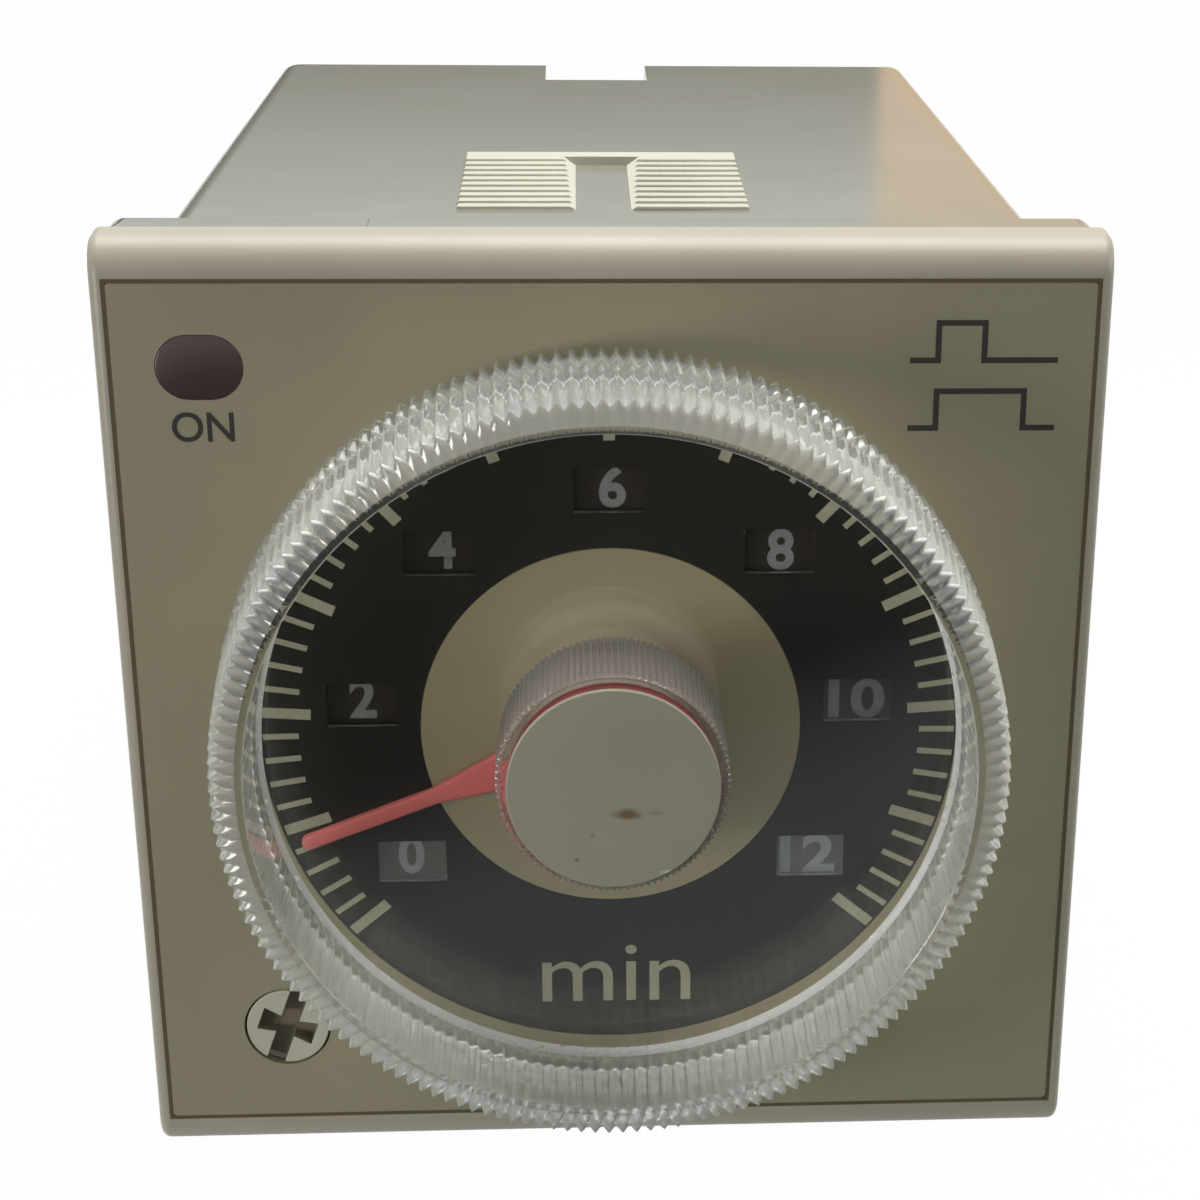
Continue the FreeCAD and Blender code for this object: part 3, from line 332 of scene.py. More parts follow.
def turned(name, rings, steps):
    """A closed skin through rings: each gives radius and height at every step round the axis."""
    mesh = bpy.data.meshes.new(name)
    points = []
    for radius, height in rings:
        for i in range(steps):
            angle = 2 * math.pi * i / steps
            reach = radius(i) if callable(radius) else radius
            points.append(at(reach * math.cos(angle), reach * math.sin(angle), height))
    faces = []
    for ring in range(len(rings)):
        below = ring * steps
        above = (ring + 1) % len(rings) * steps
        for i in range(steps):
            j = (i + 1) % steps
            faces.append((below + i, above + i, above + j, below + j))
    mesh.from_pydata(points, [], faces)
    shape = bmesh.new()
    shape.from_mesh(mesh)
    bmesh.ops.remove_doubles(shape, verts=shape.verts, dist=RING_WELD)
    bmesh.ops.recalc_face_normals(shape, faces=shape.faces)
    shape.to_mesh(mesh)
    shape.free()
    smooth_by_angle(mesh)
    return mesh


def plate(name, outline, back, front, bevel=0.0):
    """A flat piece of this outline between two heights, its front edges rounded off."""
    shape = bmesh.new()
    floor = [shape.verts.new(at(x, y, back)) for x, y in outline]
    lid = [shape.verts.new(at(x, y, front)) for x, y in outline]
    count = len(outline)
    shape.faces.new(floor)
    top = shape.faces.new(lid)
    for i in range(count):
        j = (i + 1) % count
        shape.faces.new((floor[i], floor[j], lid[j], lid[i]))
    bmesh.ops.recalc_face_normals(shape, faces=shape.faces)
    if bevel:
        bmesh.ops.bevel(shape, geom=list(top.edges), offset=bevel * MM, segments=3, profile=0.5,
                        affect="EDGES")
    mesh = bpy.data.meshes.new(name)
    shape.to_mesh(mesh)
    shape.free()
    smooth_by_angle(mesh)
    return mesh


def print_on(name, outlines, height):
    """A thin print of flat outlines, just above the surface at this height."""
    mesh = bpy.data.meshes.new(name)
    points = []
    faces = []
    for outline in outlines:
        start = len(points)
        points += [at(x, y, height + PRINT_LIFT) for x, y in outline]
        faces.append(tuple(range(start, start + len(outline))))
    mesh.from_pydata(points, [], faces)
    face_viewer(mesh)
    return mesh


def face_viewer(mesh):
    """Turn every face of a print to the front."""
    shape = bmesh.new()
    shape.from_mesh(mesh)
    turned_away = [face for face in shape.faces if face.normal.y > 0]
    bmesh.ops.reverse_faces(shape, faces=turned_away)
    shape.to_mesh(mesh)
    shape.free()


def lettering(name, text, centre, size, height, turn=0.0, weight=LETTER_WEIGHT):
    """A printed word that fills a size about its centre, its strokes thickened by a weight."""
    words = bpy.data.curves.new(name, "FONT")
    words.body = text
    words.resolution_u = LETTER_CURVE_STEPS
    words.offset = weight
    source = bpy.data.objects.new(name, words)
    bpy.context.scene.collection.objects.link(source)
    bpy.context.view_layer.update()
    drawn = source.evaluated_get(bpy.context.evaluated_depsgraph_get())
    mesh = bpy.data.meshes.new_from_object(drawn)
    bpy.data.objects.remove(source)
    xs = [vertex.co.x for vertex in mesh.vertices]
    ys = [vertex.co.y for vertex in mesh.vertices]
    wide, tall = size
    scale_x = wide / (max(xs) - min(xs))
    scale_y = tall / (max(ys) - min(ys))
    middle_x = (max(xs) + min(xs)) / 2
    middle_y = (max(ys) + min(ys)) / 2
    spin = Matrix.Rotation(math.radians(turn), 2)
    for vertex in mesh.vertices:
        flat = spin @ Vector(((vertex.co.x - middle_x) * scale_x, (vertex.co.y - middle_y) * scale_y))
        vertex.co = at(centre[0] + flat.x, centre[1] + flat.y, height + PRINT_LIFT)
    mesh.name = name
    face_viewer(mesh)
    return mesh


def refined(node, material, body, bevel):
    """A CAD piece with its seams closed, its edges broken and its rounds shaded smooth."""
    shape = bmesh.new()
    shape.from_mesh(nodes[node].data)
    bmesh.ops.remove_doubles(shape, verts=shape.verts, dist=SKIN_WELD)
    bmesh.ops.dissolve_limit(shape, angle_limit=FLAT_ANGLE, verts=shape.verts, edges=shape.edges)
    sharp = [edge for edge in shape.edges
             if len(edge.link_faces) == 2 and edge.calc_face_angle() > SHARP_ANGLE]
    bmesh.ops.bevel(shape, geom=sharp, offset=bevel * MM, segments=2, profile=0.5, affect="EDGES",
                    clamp_overlap=True)
    mesh = bpy.data.meshes.new(node)
    shape.to_mesh(mesh)
    shape.free()
    smooth_by_angle(mesh, SKIN_SMOOTH_ANGLE)
    piece = add_piece(node + "_skin", mesh, material, body, (node,))
    flat = piece.modifiers.new("flats_stay_flat", "WEIGHTED_NORMAL")
    flat.keep_sharp = True
    flat.weight = 100
    return mesh


# The clear dial: a dish with a ribbed rim and a ribbed collar round its hub

DIAL_TEETH = 170
STEPS_PER_TOOTH = 8
TOOTH_FALL = (0.0, 0.22, 0.5, 0.78, 1.0, 0.78, 0.5, 0.22)
TOOTH_SHARE = 0.45 / 19.2
FADED_TOOTH = 0.5
HUB_RIBS = 104
HUB_RIB_DEPTH = 0.12
COLLAR_HEIGHT = 2.0
GROOVE_HEIGHT = 1.0
GROOVE_DEPTH = 0.3
RIM_BACK_INSET = 0.1
RIM_FRONT_INSET = 0.45
RIB_END = 17.5
DISH_LIP = 17.2
LIP_ROUND = 0.1
LIP_STEPS = 5
FOOT_HEIGHT = 0.6
DISH_DEPTH = 5.6
HUB_OUTER = 5.56
HUB_BORE = 4.45
HUB_DROP = 0.6
HUB_RECESS = 5.3
RECESS_DEPTH = 0.6
EDGE = 0.08


def make_dial():
    steps = DIAL_TEETH * STEPS_PER_TOOTH

    def toothed(radius, share=1.0):
        """Three-cornered teeth with a little off their tips; the share fades them out."""
        def reach(i):
            return radius * (1 - TOOTH_SHARE * share * TOOTH_FALL[i % STEPS_PER_TOOTH])
        return reach

    def ribbed(radius):
        """Rounded ribs round the hub."""
        def reach(i):
            return radius - HUB_RIB_DEPTH * (0.5 - 0.5 * math.cos(2 * math.pi * HUB_RIBS * i / steps))
        return reach

    rim = dial.right
    back = dial.back
    front = dial.front
    collar = back + COLLAR_HEIGHT
    groove = collar + GROOVE_HEIGHT
    plate_front = front - DISH_DEPTH
    foot = plate_front + FOOT_HEIGHT
    rim_back = rim - RIM_BACK_INSET
    rim_front = rim - RIM_FRONT_INSET
    wall = DISH_LIP - LIP_ROUND
    hub_front = front - HUB_DROP
    recess = hub_front - RECESS_DEPTH
    rim_rings = [
        (toothed(rim - EDGE), back), (toothed(rim), back + EDGE),
        (toothed(rim), collar - EDGE), (toothed(rim - EDGE), collar),
        (toothed(rim - GROOVE_DEPTH), collar + EDGE), (toothed(rim - GROOVE_DEPTH), groove - EDGE),
        (toothed(rim_back - EDGE), groove), (toothed(rim_back), groove + EDGE),
        (toothed(rim_front + EDGE / 2), front - 6 * EDGE), (toothed(rim_front - EDGE), front - 3 * EDGE),
        (toothed(rim_front - 4 * EDGE), front - 1.5 * EDGE),
        (toothed(RIB_END + 3 * EDGE, FADED_TOOTH), front - EDGE / 2), (RIB_END, front),
    ]
    for i in range(LIP_STEPS + 1):
        angle = math.pi / 2 * i / LIP_STEPS
        rim_rings.append((DISH_LIP - LIP_ROUND * math.sin(angle),
                          front - LIP_ROUND * (1 - math.cos(angle))))
    rim_rings += [(wall - EDGE / 2, foot), (wall - EDGE, plate_front + 3 * EDGE)]
    plate_rings = [(wall - 3 * EDGE, plate_front)]
    hub_rings = [
        (ribbed(HUB_OUTER), plate_front), (ribbed(HUB_OUTER), hub_front - EDGE),
        (HUB_OUTER - 2 * EDGE, hub_front), (HUB_RECESS + EDGE / 2, hub_front),
        (HUB_RECESS, hub_front - EDGE / 2), (HUB_RECESS, recess), (HUB_BORE, recess), (HUB_BORE, back),
    ]
    mesh = turned("clear_dial", rim_rings + plate_rings + hub_rings, steps)
    add_piece("clear_dial", mesh, clear_dial, "dial", ("dial",))
    for finish in (ribbed_rim, hub_ribs, lip_painted_shade, frosted_foot):
        mesh.materials.append(finish)
    for face in mesh.polygons:
        radius = math.hypot(face.center.x, face.center.z) / MM
        if radius > RIB_END:
            face.material_index = 1
        elif radius < HUB_OUTER + EDGE:
            # The collar takes the pink tint: a painted reflection of the red tube
            face.material_index = 2
        elif radius > wall and -face.center.y > (front - LIP_ROUND) * MM:
            # The lip's front takes the grey tint: painted shade
            face.material_index = 3
        elif radius > wall - 3 * EDGE and plate_front * MM < -face.center.y < foot * MM:
            face.material_index = 4


# The red pointer and its hub

POINTER_ROOT = 2.5
ROOT_OVERLAP = 0.4
POINTER_NECK = 9.35
NECK_FLARE = 1.05
POINTER_WIDTH = 0.78
POINTER_REACH = 16.5
POINTER_THICKNESS = 0.4
POINTER_EDGE = 0.16
TIP_STEPS = 8
TUBE_RADIUS = 4.4
TUBE_STEPS = 96
SHAFT_RADIUS = 3.0
FLANGE_RADIUS = 4.95
FLANGE_DROP = 0.25
FLANGE_THICKNESS = 0.3
CAP_SEAT_RADIUS = 3.75
CAP_SEAT_DEPTH = 0.9


def make_pointer():
    seat = pointer.front - CAP_SEAT_DEPTH
    flange = pointer.front - FLANGE_DROP
    flange_back = flange - FLANGE_THICKNESS
    hub = turned("pointer_hub", [
        (SHAFT_RADIUS, pointer.back), (TUBE_RADIUS, pointer.back), (TUBE_RADIUS, flange_back),
        (FLANGE_RADIUS, flange_back), (FLANGE_RADIUS, flange), (TUBE_RADIUS, flange),
        (TUBE_RADIUS, pointer.front), (CAP_SEAT_RADIUS, pointer.front), (CAP_SEAT_RADIUS, seat),
        (SHAFT_RADIUS, seat)], TUBE_STEPS)
    # The hub takes the darker red: painted shade inside the clear collar
    add_piece("pointer_hub", hub, hub_red_painted_shade, "dial", ("pointer",))
    setting = SCALE_START + POINTER_SETTING / SCALE_UNITS * SCALE_SWEEP
    along = Vector(clockwise(setting))
    across = Vector((-along.y, along.x))
    half = POINTER_WIDTH / 2
    bar_end = POINTER_REACH - half
    tip = []
    for i in range(TIP_STEPS + 1):
        angle = math.pi * (i / TIP_STEPS - 0.5)
        tip.append((bar_end + half * math.cos(angle), half * math.sin(angle)))
    root = TUBE_RADIUS - ROOT_OVERLAP
    profile = [(root, -POINTER_ROOT / 2), (POINTER_NECK, -half * NECK_FLARE), *tip,
               (POINTER_NECK, half * NECK_FLARE), (root, POINTER_ROOT / 2)]
    outline = [tuple(along * u + across * v) for u, v in profile]
    arm = plate("pointer_arm", outline, pointer.back, pointer.back + POINTER_THICKNESS, bevel=POINTER_EDGE)
    add_piece("pointer_arm", arm, pointer_red, "dial")


# The cap, with its side in the hub's painted-shade red, the marks of use on its face and a painted highlight
# on its edge

CAP_EDGE = 0.1
CAP_EDGE_STEPS = 6
CAP_RED_EDGE = 0.42
CAP_PLUG_RADIUS = 3.7
CAP_PLUG_LENGTH = 0.8
CAP_FACE_RING = 0.6
CAP_STEPS = 128
STEEP = 0.5


def make_cap():
    step = cap.back + CAP_PLUG_LENGTH
    red_edge = step + CAP_RED_EDGE
    rings = [(0.0, cap.back), (CAP_PLUG_RADIUS, cap.back), (CAP_PLUG_RADIUS, step), (cap.right, step),
             (cap.right, red_edge)]
    for i in range(CAP_EDGE_STEPS + 1):
        angle = math.pi / 2 * i / CAP_EDGE_STEPS
        rings.append((cap.right - CAP_EDGE + CAP_EDGE * math.cos(angle),
                      cap.front - CAP_EDGE + CAP_EDGE * math.sin(angle)))
    rings += [(cap.right * CAP_FACE_RING, cap.front), (0.0, cap.front)]
    mesh = turned("dial_cap_turned", rings, CAP_STEPS)
    add_piece("dial_cap_turned", mesh, cap_stained(), "dial", ("dial_cap",))
    # The cap's lower side takes the same darker red: painted shade round the cap
    mesh.materials.append(hub_red_painted_shade)
    for face in mesh.polygons:
        if -face.center.y < red_edge * MM and abs(face.normal.y) < STEEP:
            face.material_index = 1


# A brown stain, two specks, a smear and a chip painted bright as a highlight on the lower edge: place, size,
# colour and cover
CAP_MARKS = (
    ((0.55, -1.25), (0.75, 0.3), "#6B5224", 0.85),
    ((-1.0, -2.3), (0.12, 0.12), "#6A6450", 0.5),
    ((-1.75, -3.55), (0.11, 0.11), "#5A5442", 0.7),
    ((2.0, -1.2), (0.5, 0.12), "#8A826C", 0.5),
    # A chip on the lower edge, painted bright as a highlight
    ((2.55, -4.25), (0.5, 0.13), "#E6E4DA", 0.8),
)
CAP_MARK_DEPTH = 2.0
RAGGED_SIZE = 0.7
RAGGED_REACH = 1.2
RAGGED_START, RAGGED_END = 0.9, 1.7


def cap_stained():
    """The cap's satin ABS, moulded like the panel, with marks of fingers and dirt and a painted highlight.
    """
    material = moulded("olive_grey_abs_stains_and_highlight", "#AAA793", "#A4A18D", 0.45)
    tree = material.node_tree
    shader = next(item for item in tree.nodes if item.type == "BSDF_PRINCIPLED")
    marked_colour = shader.inputs["Base Color"].links[0].from_socket
    place = add_node(material, "ShaderNodeTexCoord").outputs["Object"]
    wobble = add_node(material, "ShaderNodeTexNoise", {
        "Vector": place, "Scale": per_mm(RAGGED_SIZE), "Detail": 4.0})
    for (x, y), (wide, tall), colour, strength in CAP_MARKS:
        centre = at(x, y, cap.front)
        shift = add_node(material, "ShaderNodeVectorMath", {0: place, 1: centre}, operation="SUBTRACT")
        squeeze = add_node(material, "ShaderNodeVectorMath", {
            0: shift.outputs[0], 1: (per_mm(wide), per_mm(CAP_MARK_DEPTH), per_mm(tall))},
            operation="MULTIPLY")
        far = add_node(material, "ShaderNodeVectorMath", {0: squeeze.outputs[0]}, operation="LENGTH")
        ragged = add_node(material, "ShaderNodeMath", {
            0: wobble.outputs[0], 1: RAGGED_REACH, 2: far.outputs["Value"]}, operation="MULTIPLY_ADD")
        cover = add_node(material, "ShaderNodeMapRange", {
            "Value": ragged.outputs[0], "From Min": RAGGED_START, "From Max": RAGGED_END,
            "To Min": strength, "To Max": 0.0})
        mixed = add_node(material, "ShaderNodeMix", {
            "Factor": cover.outputs[0], 6: marked_colour, 7: linear(colour)}, data_type="RGBA")
        marked_colour = mixed.outputs[2]
    tree.links.new(marked_colour, shader.inputs["Base Color"])
    return material


# The printed scale, its windows and the numbers behind them

RING_STEPS = 256
LABEL_INNER = 9.38
PUNCH_DEPTH = 1
MAJOR_MARK = (14.7, 0.55)
MINOR_MARK = (15.3, 0.3)
MARK_END = 17.05
UNIT_PLACE = (0.16, -13.55)
UNIT_SIZE = (7.6, 3.19)


def window_places():
    return [clockwise(180 + step * NUMBER_STEP, NUMBER_RADIUS) for step in WINDOW_STEPS]


def make_scale_label():
    ring = turned("ring", [(LABEL_INNER, label.back), (label.right, label.back), (label.right, label.front),
                           (LABEL_INNER, label.front)], RING_STEPS)
    body = bpy.data.objects.new("ring", ring)
    bpy.context.scene.collection.objects.link(body)
    openings = bmesh.new()
    size = Matrix.Diagonal((WINDOW_WIDTH * MM, PUNCH_DEPTH * MM, WINDOW_HEIGHT * MM, 1))
    for x, y in window_places():
        centre = at(x, y, (label.back + label.front) / 2)
        bmesh.ops.create_cube(openings, size=1, matrix=Matrix.Translation(centre) @ size)
    punch_mesh = bpy.data.meshes.new("punch")
    openings.to_mesh(punch_mesh)
    openings.free()
    punch = bpy.data.objects.new("punch", punch_mesh)
    bpy.context.scene.collection.objects.link(punch)
    cutter = body.modifiers.new("windows", "BOOLEAN")
    cutter.operation = "DIFFERENCE"
    cutter.object = punch
    bpy.context.view_layer.update()
    cut = bpy.data.meshes.new_from_object(body.evaluated_get(bpy.context.evaluated_depsgraph_get()))
    bpy.data.objects.remove(body)
    bpy.data.objects.remove(punch)
    smooth_by_angle(cut)
    add_piece("scale_ring", cut, scale_black, "housing", ("scale_label",))


def make_scale_marks():
    outlines = []
    for i in range(SCALE_UNITS * MARKS_PER_UNIT + 1):
        start, width = MAJOR_MARK if i % MARKS_PER_UNIT == 0 else MINOR_MARK
        along = Vector(clockwise(SCALE_START + SCALE_SWEEP * i / (SCALE_UNITS * MARKS_PER_UNIT)))
        across = Vector((-along.y, along.x)) * width / 2
        outlines.append([tuple(along * start - across), tuple(along * MARK_END - across),
                         tuple(along * MARK_END + across), tuple(along * start + across)])
    marks = print_on("scale_marks", outlines, label.front)
    add_piece("scale_marks", marks, mark_ink, "housing")
    unit = lettering("scale_unit", "min", UNIT_PLACE, UNIT_SIZE, label.front, weight=0.0)
    add_piece("scale_unit", unit, mark_ink, "housing")


NUMBER_SETS = (
    [str(2 * i) for i in range(7)],
    [str(i) for i in range(7)],
    [f"{i / 5:.1f}" for i in range(7)],
)
NUMBER_HEIGHT = 2.1
NUMBER_DRIFT = 0.7
NUMBER_WEIGHT = 0.03
DIGIT_WIDTH = 1.3
DIGIT_PITCH = 1.5
DECIMAL_WIDTH = 2.2


def make_numbers():
    """Three sets of numbers on the disc; the selector brings one set behind the windows."""
    shift = NUMBER_STEP / len(NUMBER_SETS)
    for k, numbers in enumerate(NUMBER_SETS):
        for i, (step, number) in enumerate(zip(WINDOW_STEPS, numbers)):
            angle = 180 + step * NUMBER_STEP - k * shift + NUMBER_DRIFT
            place = clockwise(angle, NUMBER_RADIUS)
            wide = DECIMAL_WIDTH if "." in number else DIGIT_WIDTH + DIGIT_PITCH * (len(number) - 1)
            name = f"number_{k}_{i}"
            mesh = lettering(name, number, place, (wide, NUMBER_HEIGHT), disc.front, turn=k * shift,
                             weight=NUMBER_WEIGHT)
            add_piece(name, mesh, number_ink, "number_disc")


PANE_GAP = 0.02


def make_windows():
    """A film in each window; the first and the last have gone hazy."""
    wide, tall = WINDOW_WIDTH / 2 - PANE_GAP, WINDOW_HEIGHT / 2 - PANE_GAP
    places = window_places()
    for i, (x, y) in enumerate(places):
        pane = [(x - wide, y - tall), (x + wide, y - tall), (x + wide, y + tall), (x - wide, y + tall)]
        mesh = plate(f"number_window_{i}", pane, label.back, label.front - PANE_GAP)
        film = hazy_film if i in (0, len(places) - 1) else clear_film
        add_piece(f"number_window_{i}", mesh, film, "housing")


# Lamp lens, its word and the diagram at the upper right

LENS_FILL = 0.08
LENS_EDGE = 0.06
LENS_END_STEPS = 12
LAMP_WORD_LEVEL = 15.2
LAMP_WORD_SIZE = (2.9, 1.45)


def obround(width, height, centre):
    """A slot outline with round ends."""
    x, y = centre
    reach = (width - height) / 2
    points = []
    for side in (1, -1):
        for i in range(LENS_END_STEPS + 1):
            angle = math.pi * (i / LENS_END_STEPS - 0.5)
            points.append((x + side * (reach + height / 2 * math.cos(angle)),
                           y + side * height / 2 * math.sin(angle)))
    return points


def make_lamp():
    centre = ((lens.left + lens.right) / 2, (lens.bottom + lens.top) / 2)
    outline = obround(lens.right - lens.left + LENS_FILL, lens.top - lens.bottom + LENS_FILL, centre)
    mesh = plate("lamp_lens", outline, lens.back, lens.front, bevel=LENS_EDGE)
    add_piece("lamp_lens", mesh, lens_smoked, "housing", ("led_window",))
    word = lettering("lamp_word", "ON", (centre[0], LAMP_WORD_LEVEL), LAMP_WORD_SIZE, panel.front)
    add_piece("lamp_word", word, legend_ink, "housing")


STROKE = 0.28
DIAGRAM_LEFT, DIAGRAM_RIGHT = 14.4, 21.2
DIAGRAM_RISE_AT = 1.2
# Each line's low level, its high level and how far along it falls
SUPPLY_LINE = (18.3, 20.1, 3.4)
OUTPUT_LINE = (15.0, 16.8, 5.4)


def stroke_line(points):
    """A square-ended line that turns only at right angles; its level runs take the corners."""
    boxes = []
    half = STROKE / 2
    for (x0, y0), (x1, y1) in zip(points, points[1:]):
        low_x, high_x = sorted((x0, x1))
        low_y, high_y = sorted((y0, y1))
        reach = half if y0 == y1 else -half
        boxes.append([(low_x - half, low_y - reach), (high_x + half, low_y - reach),
                      (high_x + half, high_y + reach), (low_x - half, high_y + reach)])
    return boxes


def make_diagram():
    """A plain timing diagram: the supply goes off, and the output follows later."""
    outlines = []
    rise = DIAGRAM_LEFT + DIAGRAM_RISE_AT
    for low, high, fall_at in (SUPPLY_LINE, OUTPUT_LINE):
        fall = DIAGRAM_LEFT + fall_at
        outlines += stroke_line([(DIAGRAM_LEFT, low), (rise, low), (rise, high), (fall, high), (fall, low),
                                 (DIAGRAM_RIGHT, low)])
    mesh = print_on("timing_diagram", outlines, panel.front)
    add_piece("timing_diagram", mesh, legend_ink, "housing")


# Pieces that keep their CAD shape: broken edges, finishes by zone, and the finishes inside

CASE_EDGE = 0.08
PAD_LEVEL = 22.42
PAD_START = 8.0
BEZEL_EDGE = 0.06
BEZEL_DRAFT = 0.18
OUTSIDE_OPENING = 1.005
PANEL_EDGE = 0.02
WINDOW_ZONE = (10.3, 14.4)
FACES_FRONT = -0.9
SELECTOR_EDGE = 0.05
SLOT_REACH = 1.9
SLOT_TOP, SLOT_FLOOR = 0.1, 1.6
PLUG_EDGE = 0.12
OPENING = (23.25, 22.2)
GAP_SHADE_WIDTH = 0.2

INSIDE_FINISHES = {
    "chassis": chassis_abs, "number_disc": disc_card, "dial_shaft": steel, "potentiometer": steel,
    "rotary_switch": part_black, "front_board": board_laminate, "led": lamp_red,
    "main_board": board_laminate, "power_board": board_laminate,
    "storage_capacitor_1": part_black, "storage_capacitor_2": part_black,
    "film_capacitor": part_blue, "varistor": part_blue, "rectifier": part_black, "timer_chip": part_black,
    "relay_base": part_black, "relay_bobbin": bobbin_nylon, "relay_coil": winding_copper,
    "relay_core": steel, "relay_yoke": steel, "relay_armature": steel, "moving_contact": brass,
    "normally_open_contact": brass, "normally_closed_contact": brass, "relay_cover": clear_cover,
    **{f"resistor_{i}": part_tan for i in range(1, 5)},
    **{f"plug_pin_{i}": nickel for i in range(1, 9)},
}


def dress_case():
    shell = refined("case", case_abs, "housing", bevel=CASE_EDGE)
    shell.materials.append(pad_abs)
    for face in shell.polygons:
        if abs(face.center.z) > PAD_LEVEL * MM and face.center.y > PAD_START * MM:
            face.material_index = 1


def dress_bezel():
    """The bezel's outer sides draw in a little to the front, as they left the mould."""
    border = refined("bezel", bezel_abs, "housing", bevel=BEZEL_EDGE)
    for vertex in border.vertices:
        if abs(vertex.co.x) > OPENING[0] * MM * OUTSIDE_OPENING:
            share = (-vertex.co.y / MM - bezel.back) / (bezel.front - bezel.back)
            vertex.co.x -= math.copysign(BEZEL_DRAFT * share * MM, vertex.co.x)


def dress_panel():
    """The panel, with the walls of its number windows in the print's black as painted shade."""
    face_plate = refined("front_panel", panel_abs, "housing", bevel=PANEL_EDGE)
    face_plate.materials.append(scale_black)
    for face in face_plate.polygons:
        radius = math.hypot(face.center.x, face.center.z) / MM
        if WINDOW_ZONE[0] < radius < WINDOW_ZONE[1] and face.normal.y > FACES_FRONT:
            # Walls inside the number windows take the black: painted shade in the openings
            face.material_index = 1


def dress_selector():
    knob = refined("selector", selector_abs, "selector", bevel=SELECTOR_EDGE)
    knob.materials.append(slot_painted_shade)
    axis = Vector(((selector.left + selector.right) / 2, (selector.bottom + selector.top) / 2))
    for face in knob.polygons:
        away = (Vector((face.center.x, face.center.z)) / MM - axis).length
        depth = selector.front + face.center.y / MM
        if away < SLOT_REACH and SLOT_TOP < depth < SLOT_FLOOR:
            # Faces down in the cross slots take the darker ABS: painted shade
            face.material_index = 1


def dress_inside():
    for name, material in INSIDE_FINISHES.items():
        mesh = nodes[name].data
        mesh.materials.clear()
        mesh.materials.append(material)


def make_gap_dust():
    """A brown strip over the gap round the panel: painted shade of the gap's walls."""
    x, y = OPENING
    inner_x, inner_y = x - GAP_SHADE_WIDTH, y - GAP_SHADE_WIDTH
    strips = []
    for side in (1, -1):
        strips.append([(-x, side * inner_y), (x, side * inner_y), (x, side * y), (-x, side * y)])
        strips.append([(side * inner_x, -inner_y), (side * x, -inner_y), (side * x, inner_y),
                       (side * inner_x, inner_y)])
    # The strips lie flat over the gap as painted shade
    add_piece("gap_painted_shade", print_on("gap_painted_shade", strips, panel.front), gap_painted_shade, "housing")


# Studio

FLOOR_HALF = 3000.0
FLOOR_GLOW = 0.98
FLOOR_PAINT = "#908F8C"
ROOM_COLOUR = "#F4F6FA"
ROOM_STRENGTH = 0.21
CARD_LIFT = 0.3
FRONT_CARD_HALF = 200
FRONT_CARD_NEAR, FRONT_CARD_FAR = -6.5, -400
REAR_CARD_PLACE = 300
REAR_CARD_LOW, REAR_CARD_HIGH = 10, 110
REAR_CARD_LEFT, REAR_CARD_SPLIT, REAR_CARD_RIGHT = -400, 48, 300

# Place, aim and size in millimetres, and power in watts
SOFTBOXES = {
    "overhead_softbox": ((15, 50, 230), (0, 20, 0), (240, 160), 0.76),
    "left_fill_softbox": ((-150, -120, 4), (0, 0, 0), (70, 50), 0.142),
    "right_fill_softbox": ((220, -40, 60), (0, 0, 0), (80, 80), 0.1),
}


def add_stage(name, corners, material):
    """A flat stage sheet between corners in millimetres."""
    mesh = bpy.data.meshes.new(name)
    mesh.from_pydata([Vector(corner) * MM for corner in corners], [], [tuple(range(len(corners)))])
    mesh.materials.append(material)
    sheet = bpy.data.objects.new(name, mesh)
    bpy.context.scene.collection.objects.link(sheet)
    return sheet


def seen_directly(tree_owner):
    """One where a ray comes from the camera, or by way of gloss or clear plastic."""
    path = add_node(tree_owner, "ShaderNodeLightPath")
    seen = add_node(tree_owner, "ShaderNodeMath", {
        0: path.outputs["Is Camera Ray"], 1: path.outputs["Is Glossy Ray"]}, operation="MAXIMUM")
    return add_node(tree_owner, "ShaderNodeMath", {
        0: seen.outputs[0], 1: path.outputs["Is Transmission Ray"]}, operation="MAXIMUM").outputs[0]


def studio_floor():
    """A painted floor that shows white to the eye and keeps the object's soft shadow."""
    material = new_material("pale_floor_paint")
    seen = seen_directly(material)
    share = add_node(material, "ShaderNodeMath", {0: seen, 1: FLOOR_GLOW}, operation="MULTIPLY")
    coat = add_node(material, "ShaderNodeMix", {
        "Factor": seen, 6: linear(FLOOR_PAINT), 7: WHITE}, data_type="RGBA")
    paint = add_node(material, "ShaderNodeBsdfDiffuse", {"Color": coat.outputs[2]})
    glow = add_node(material, "ShaderNodeEmission", {"Color": WHITE, "Strength": 1.0})
    mixed = add_node(material, "ShaderNodeMixShader", {
        0: share.outputs[0], 1: paint.outputs[0], 2: glow.outputs[0]})
    finish_surface(material, mixed)
    level = bezel.bottom
    add_stage("floor", [(-FLOOR_HALF, -FLOOR_HALF, level), (FLOOR_HALF, -FLOOR_HALF, level),
                        (FLOOR_HALF, FLOOR_HALF, level), (-FLOOR_HALF, FLOOR_HALF, level)], material)


def studio_world():
    """A dim room that shows white where it is seen."""
    world = bpy.data.worlds.new("white_studio")
    world.use_nodes = True
    world.node_tree.nodes.clear()
    soft = add_node(world, "ShaderNodeBackground", {"Color": linear(ROOM_COLOUR), "Strength": ROOM_STRENGTH})
    white = add_node(world, "ShaderNodeBackground", {"Color": WHITE, "Strength": 1.0})
    mixed = add_node(world, "ShaderNodeMixShader", {
        0: seen_directly(world), 1: soft.outputs[0], 2: white.outputs[0]})
    add_node(world, "ShaderNodeOutputWorld", {"Surface": mixed.outputs[0]})
    bpy.context.scene.world = world


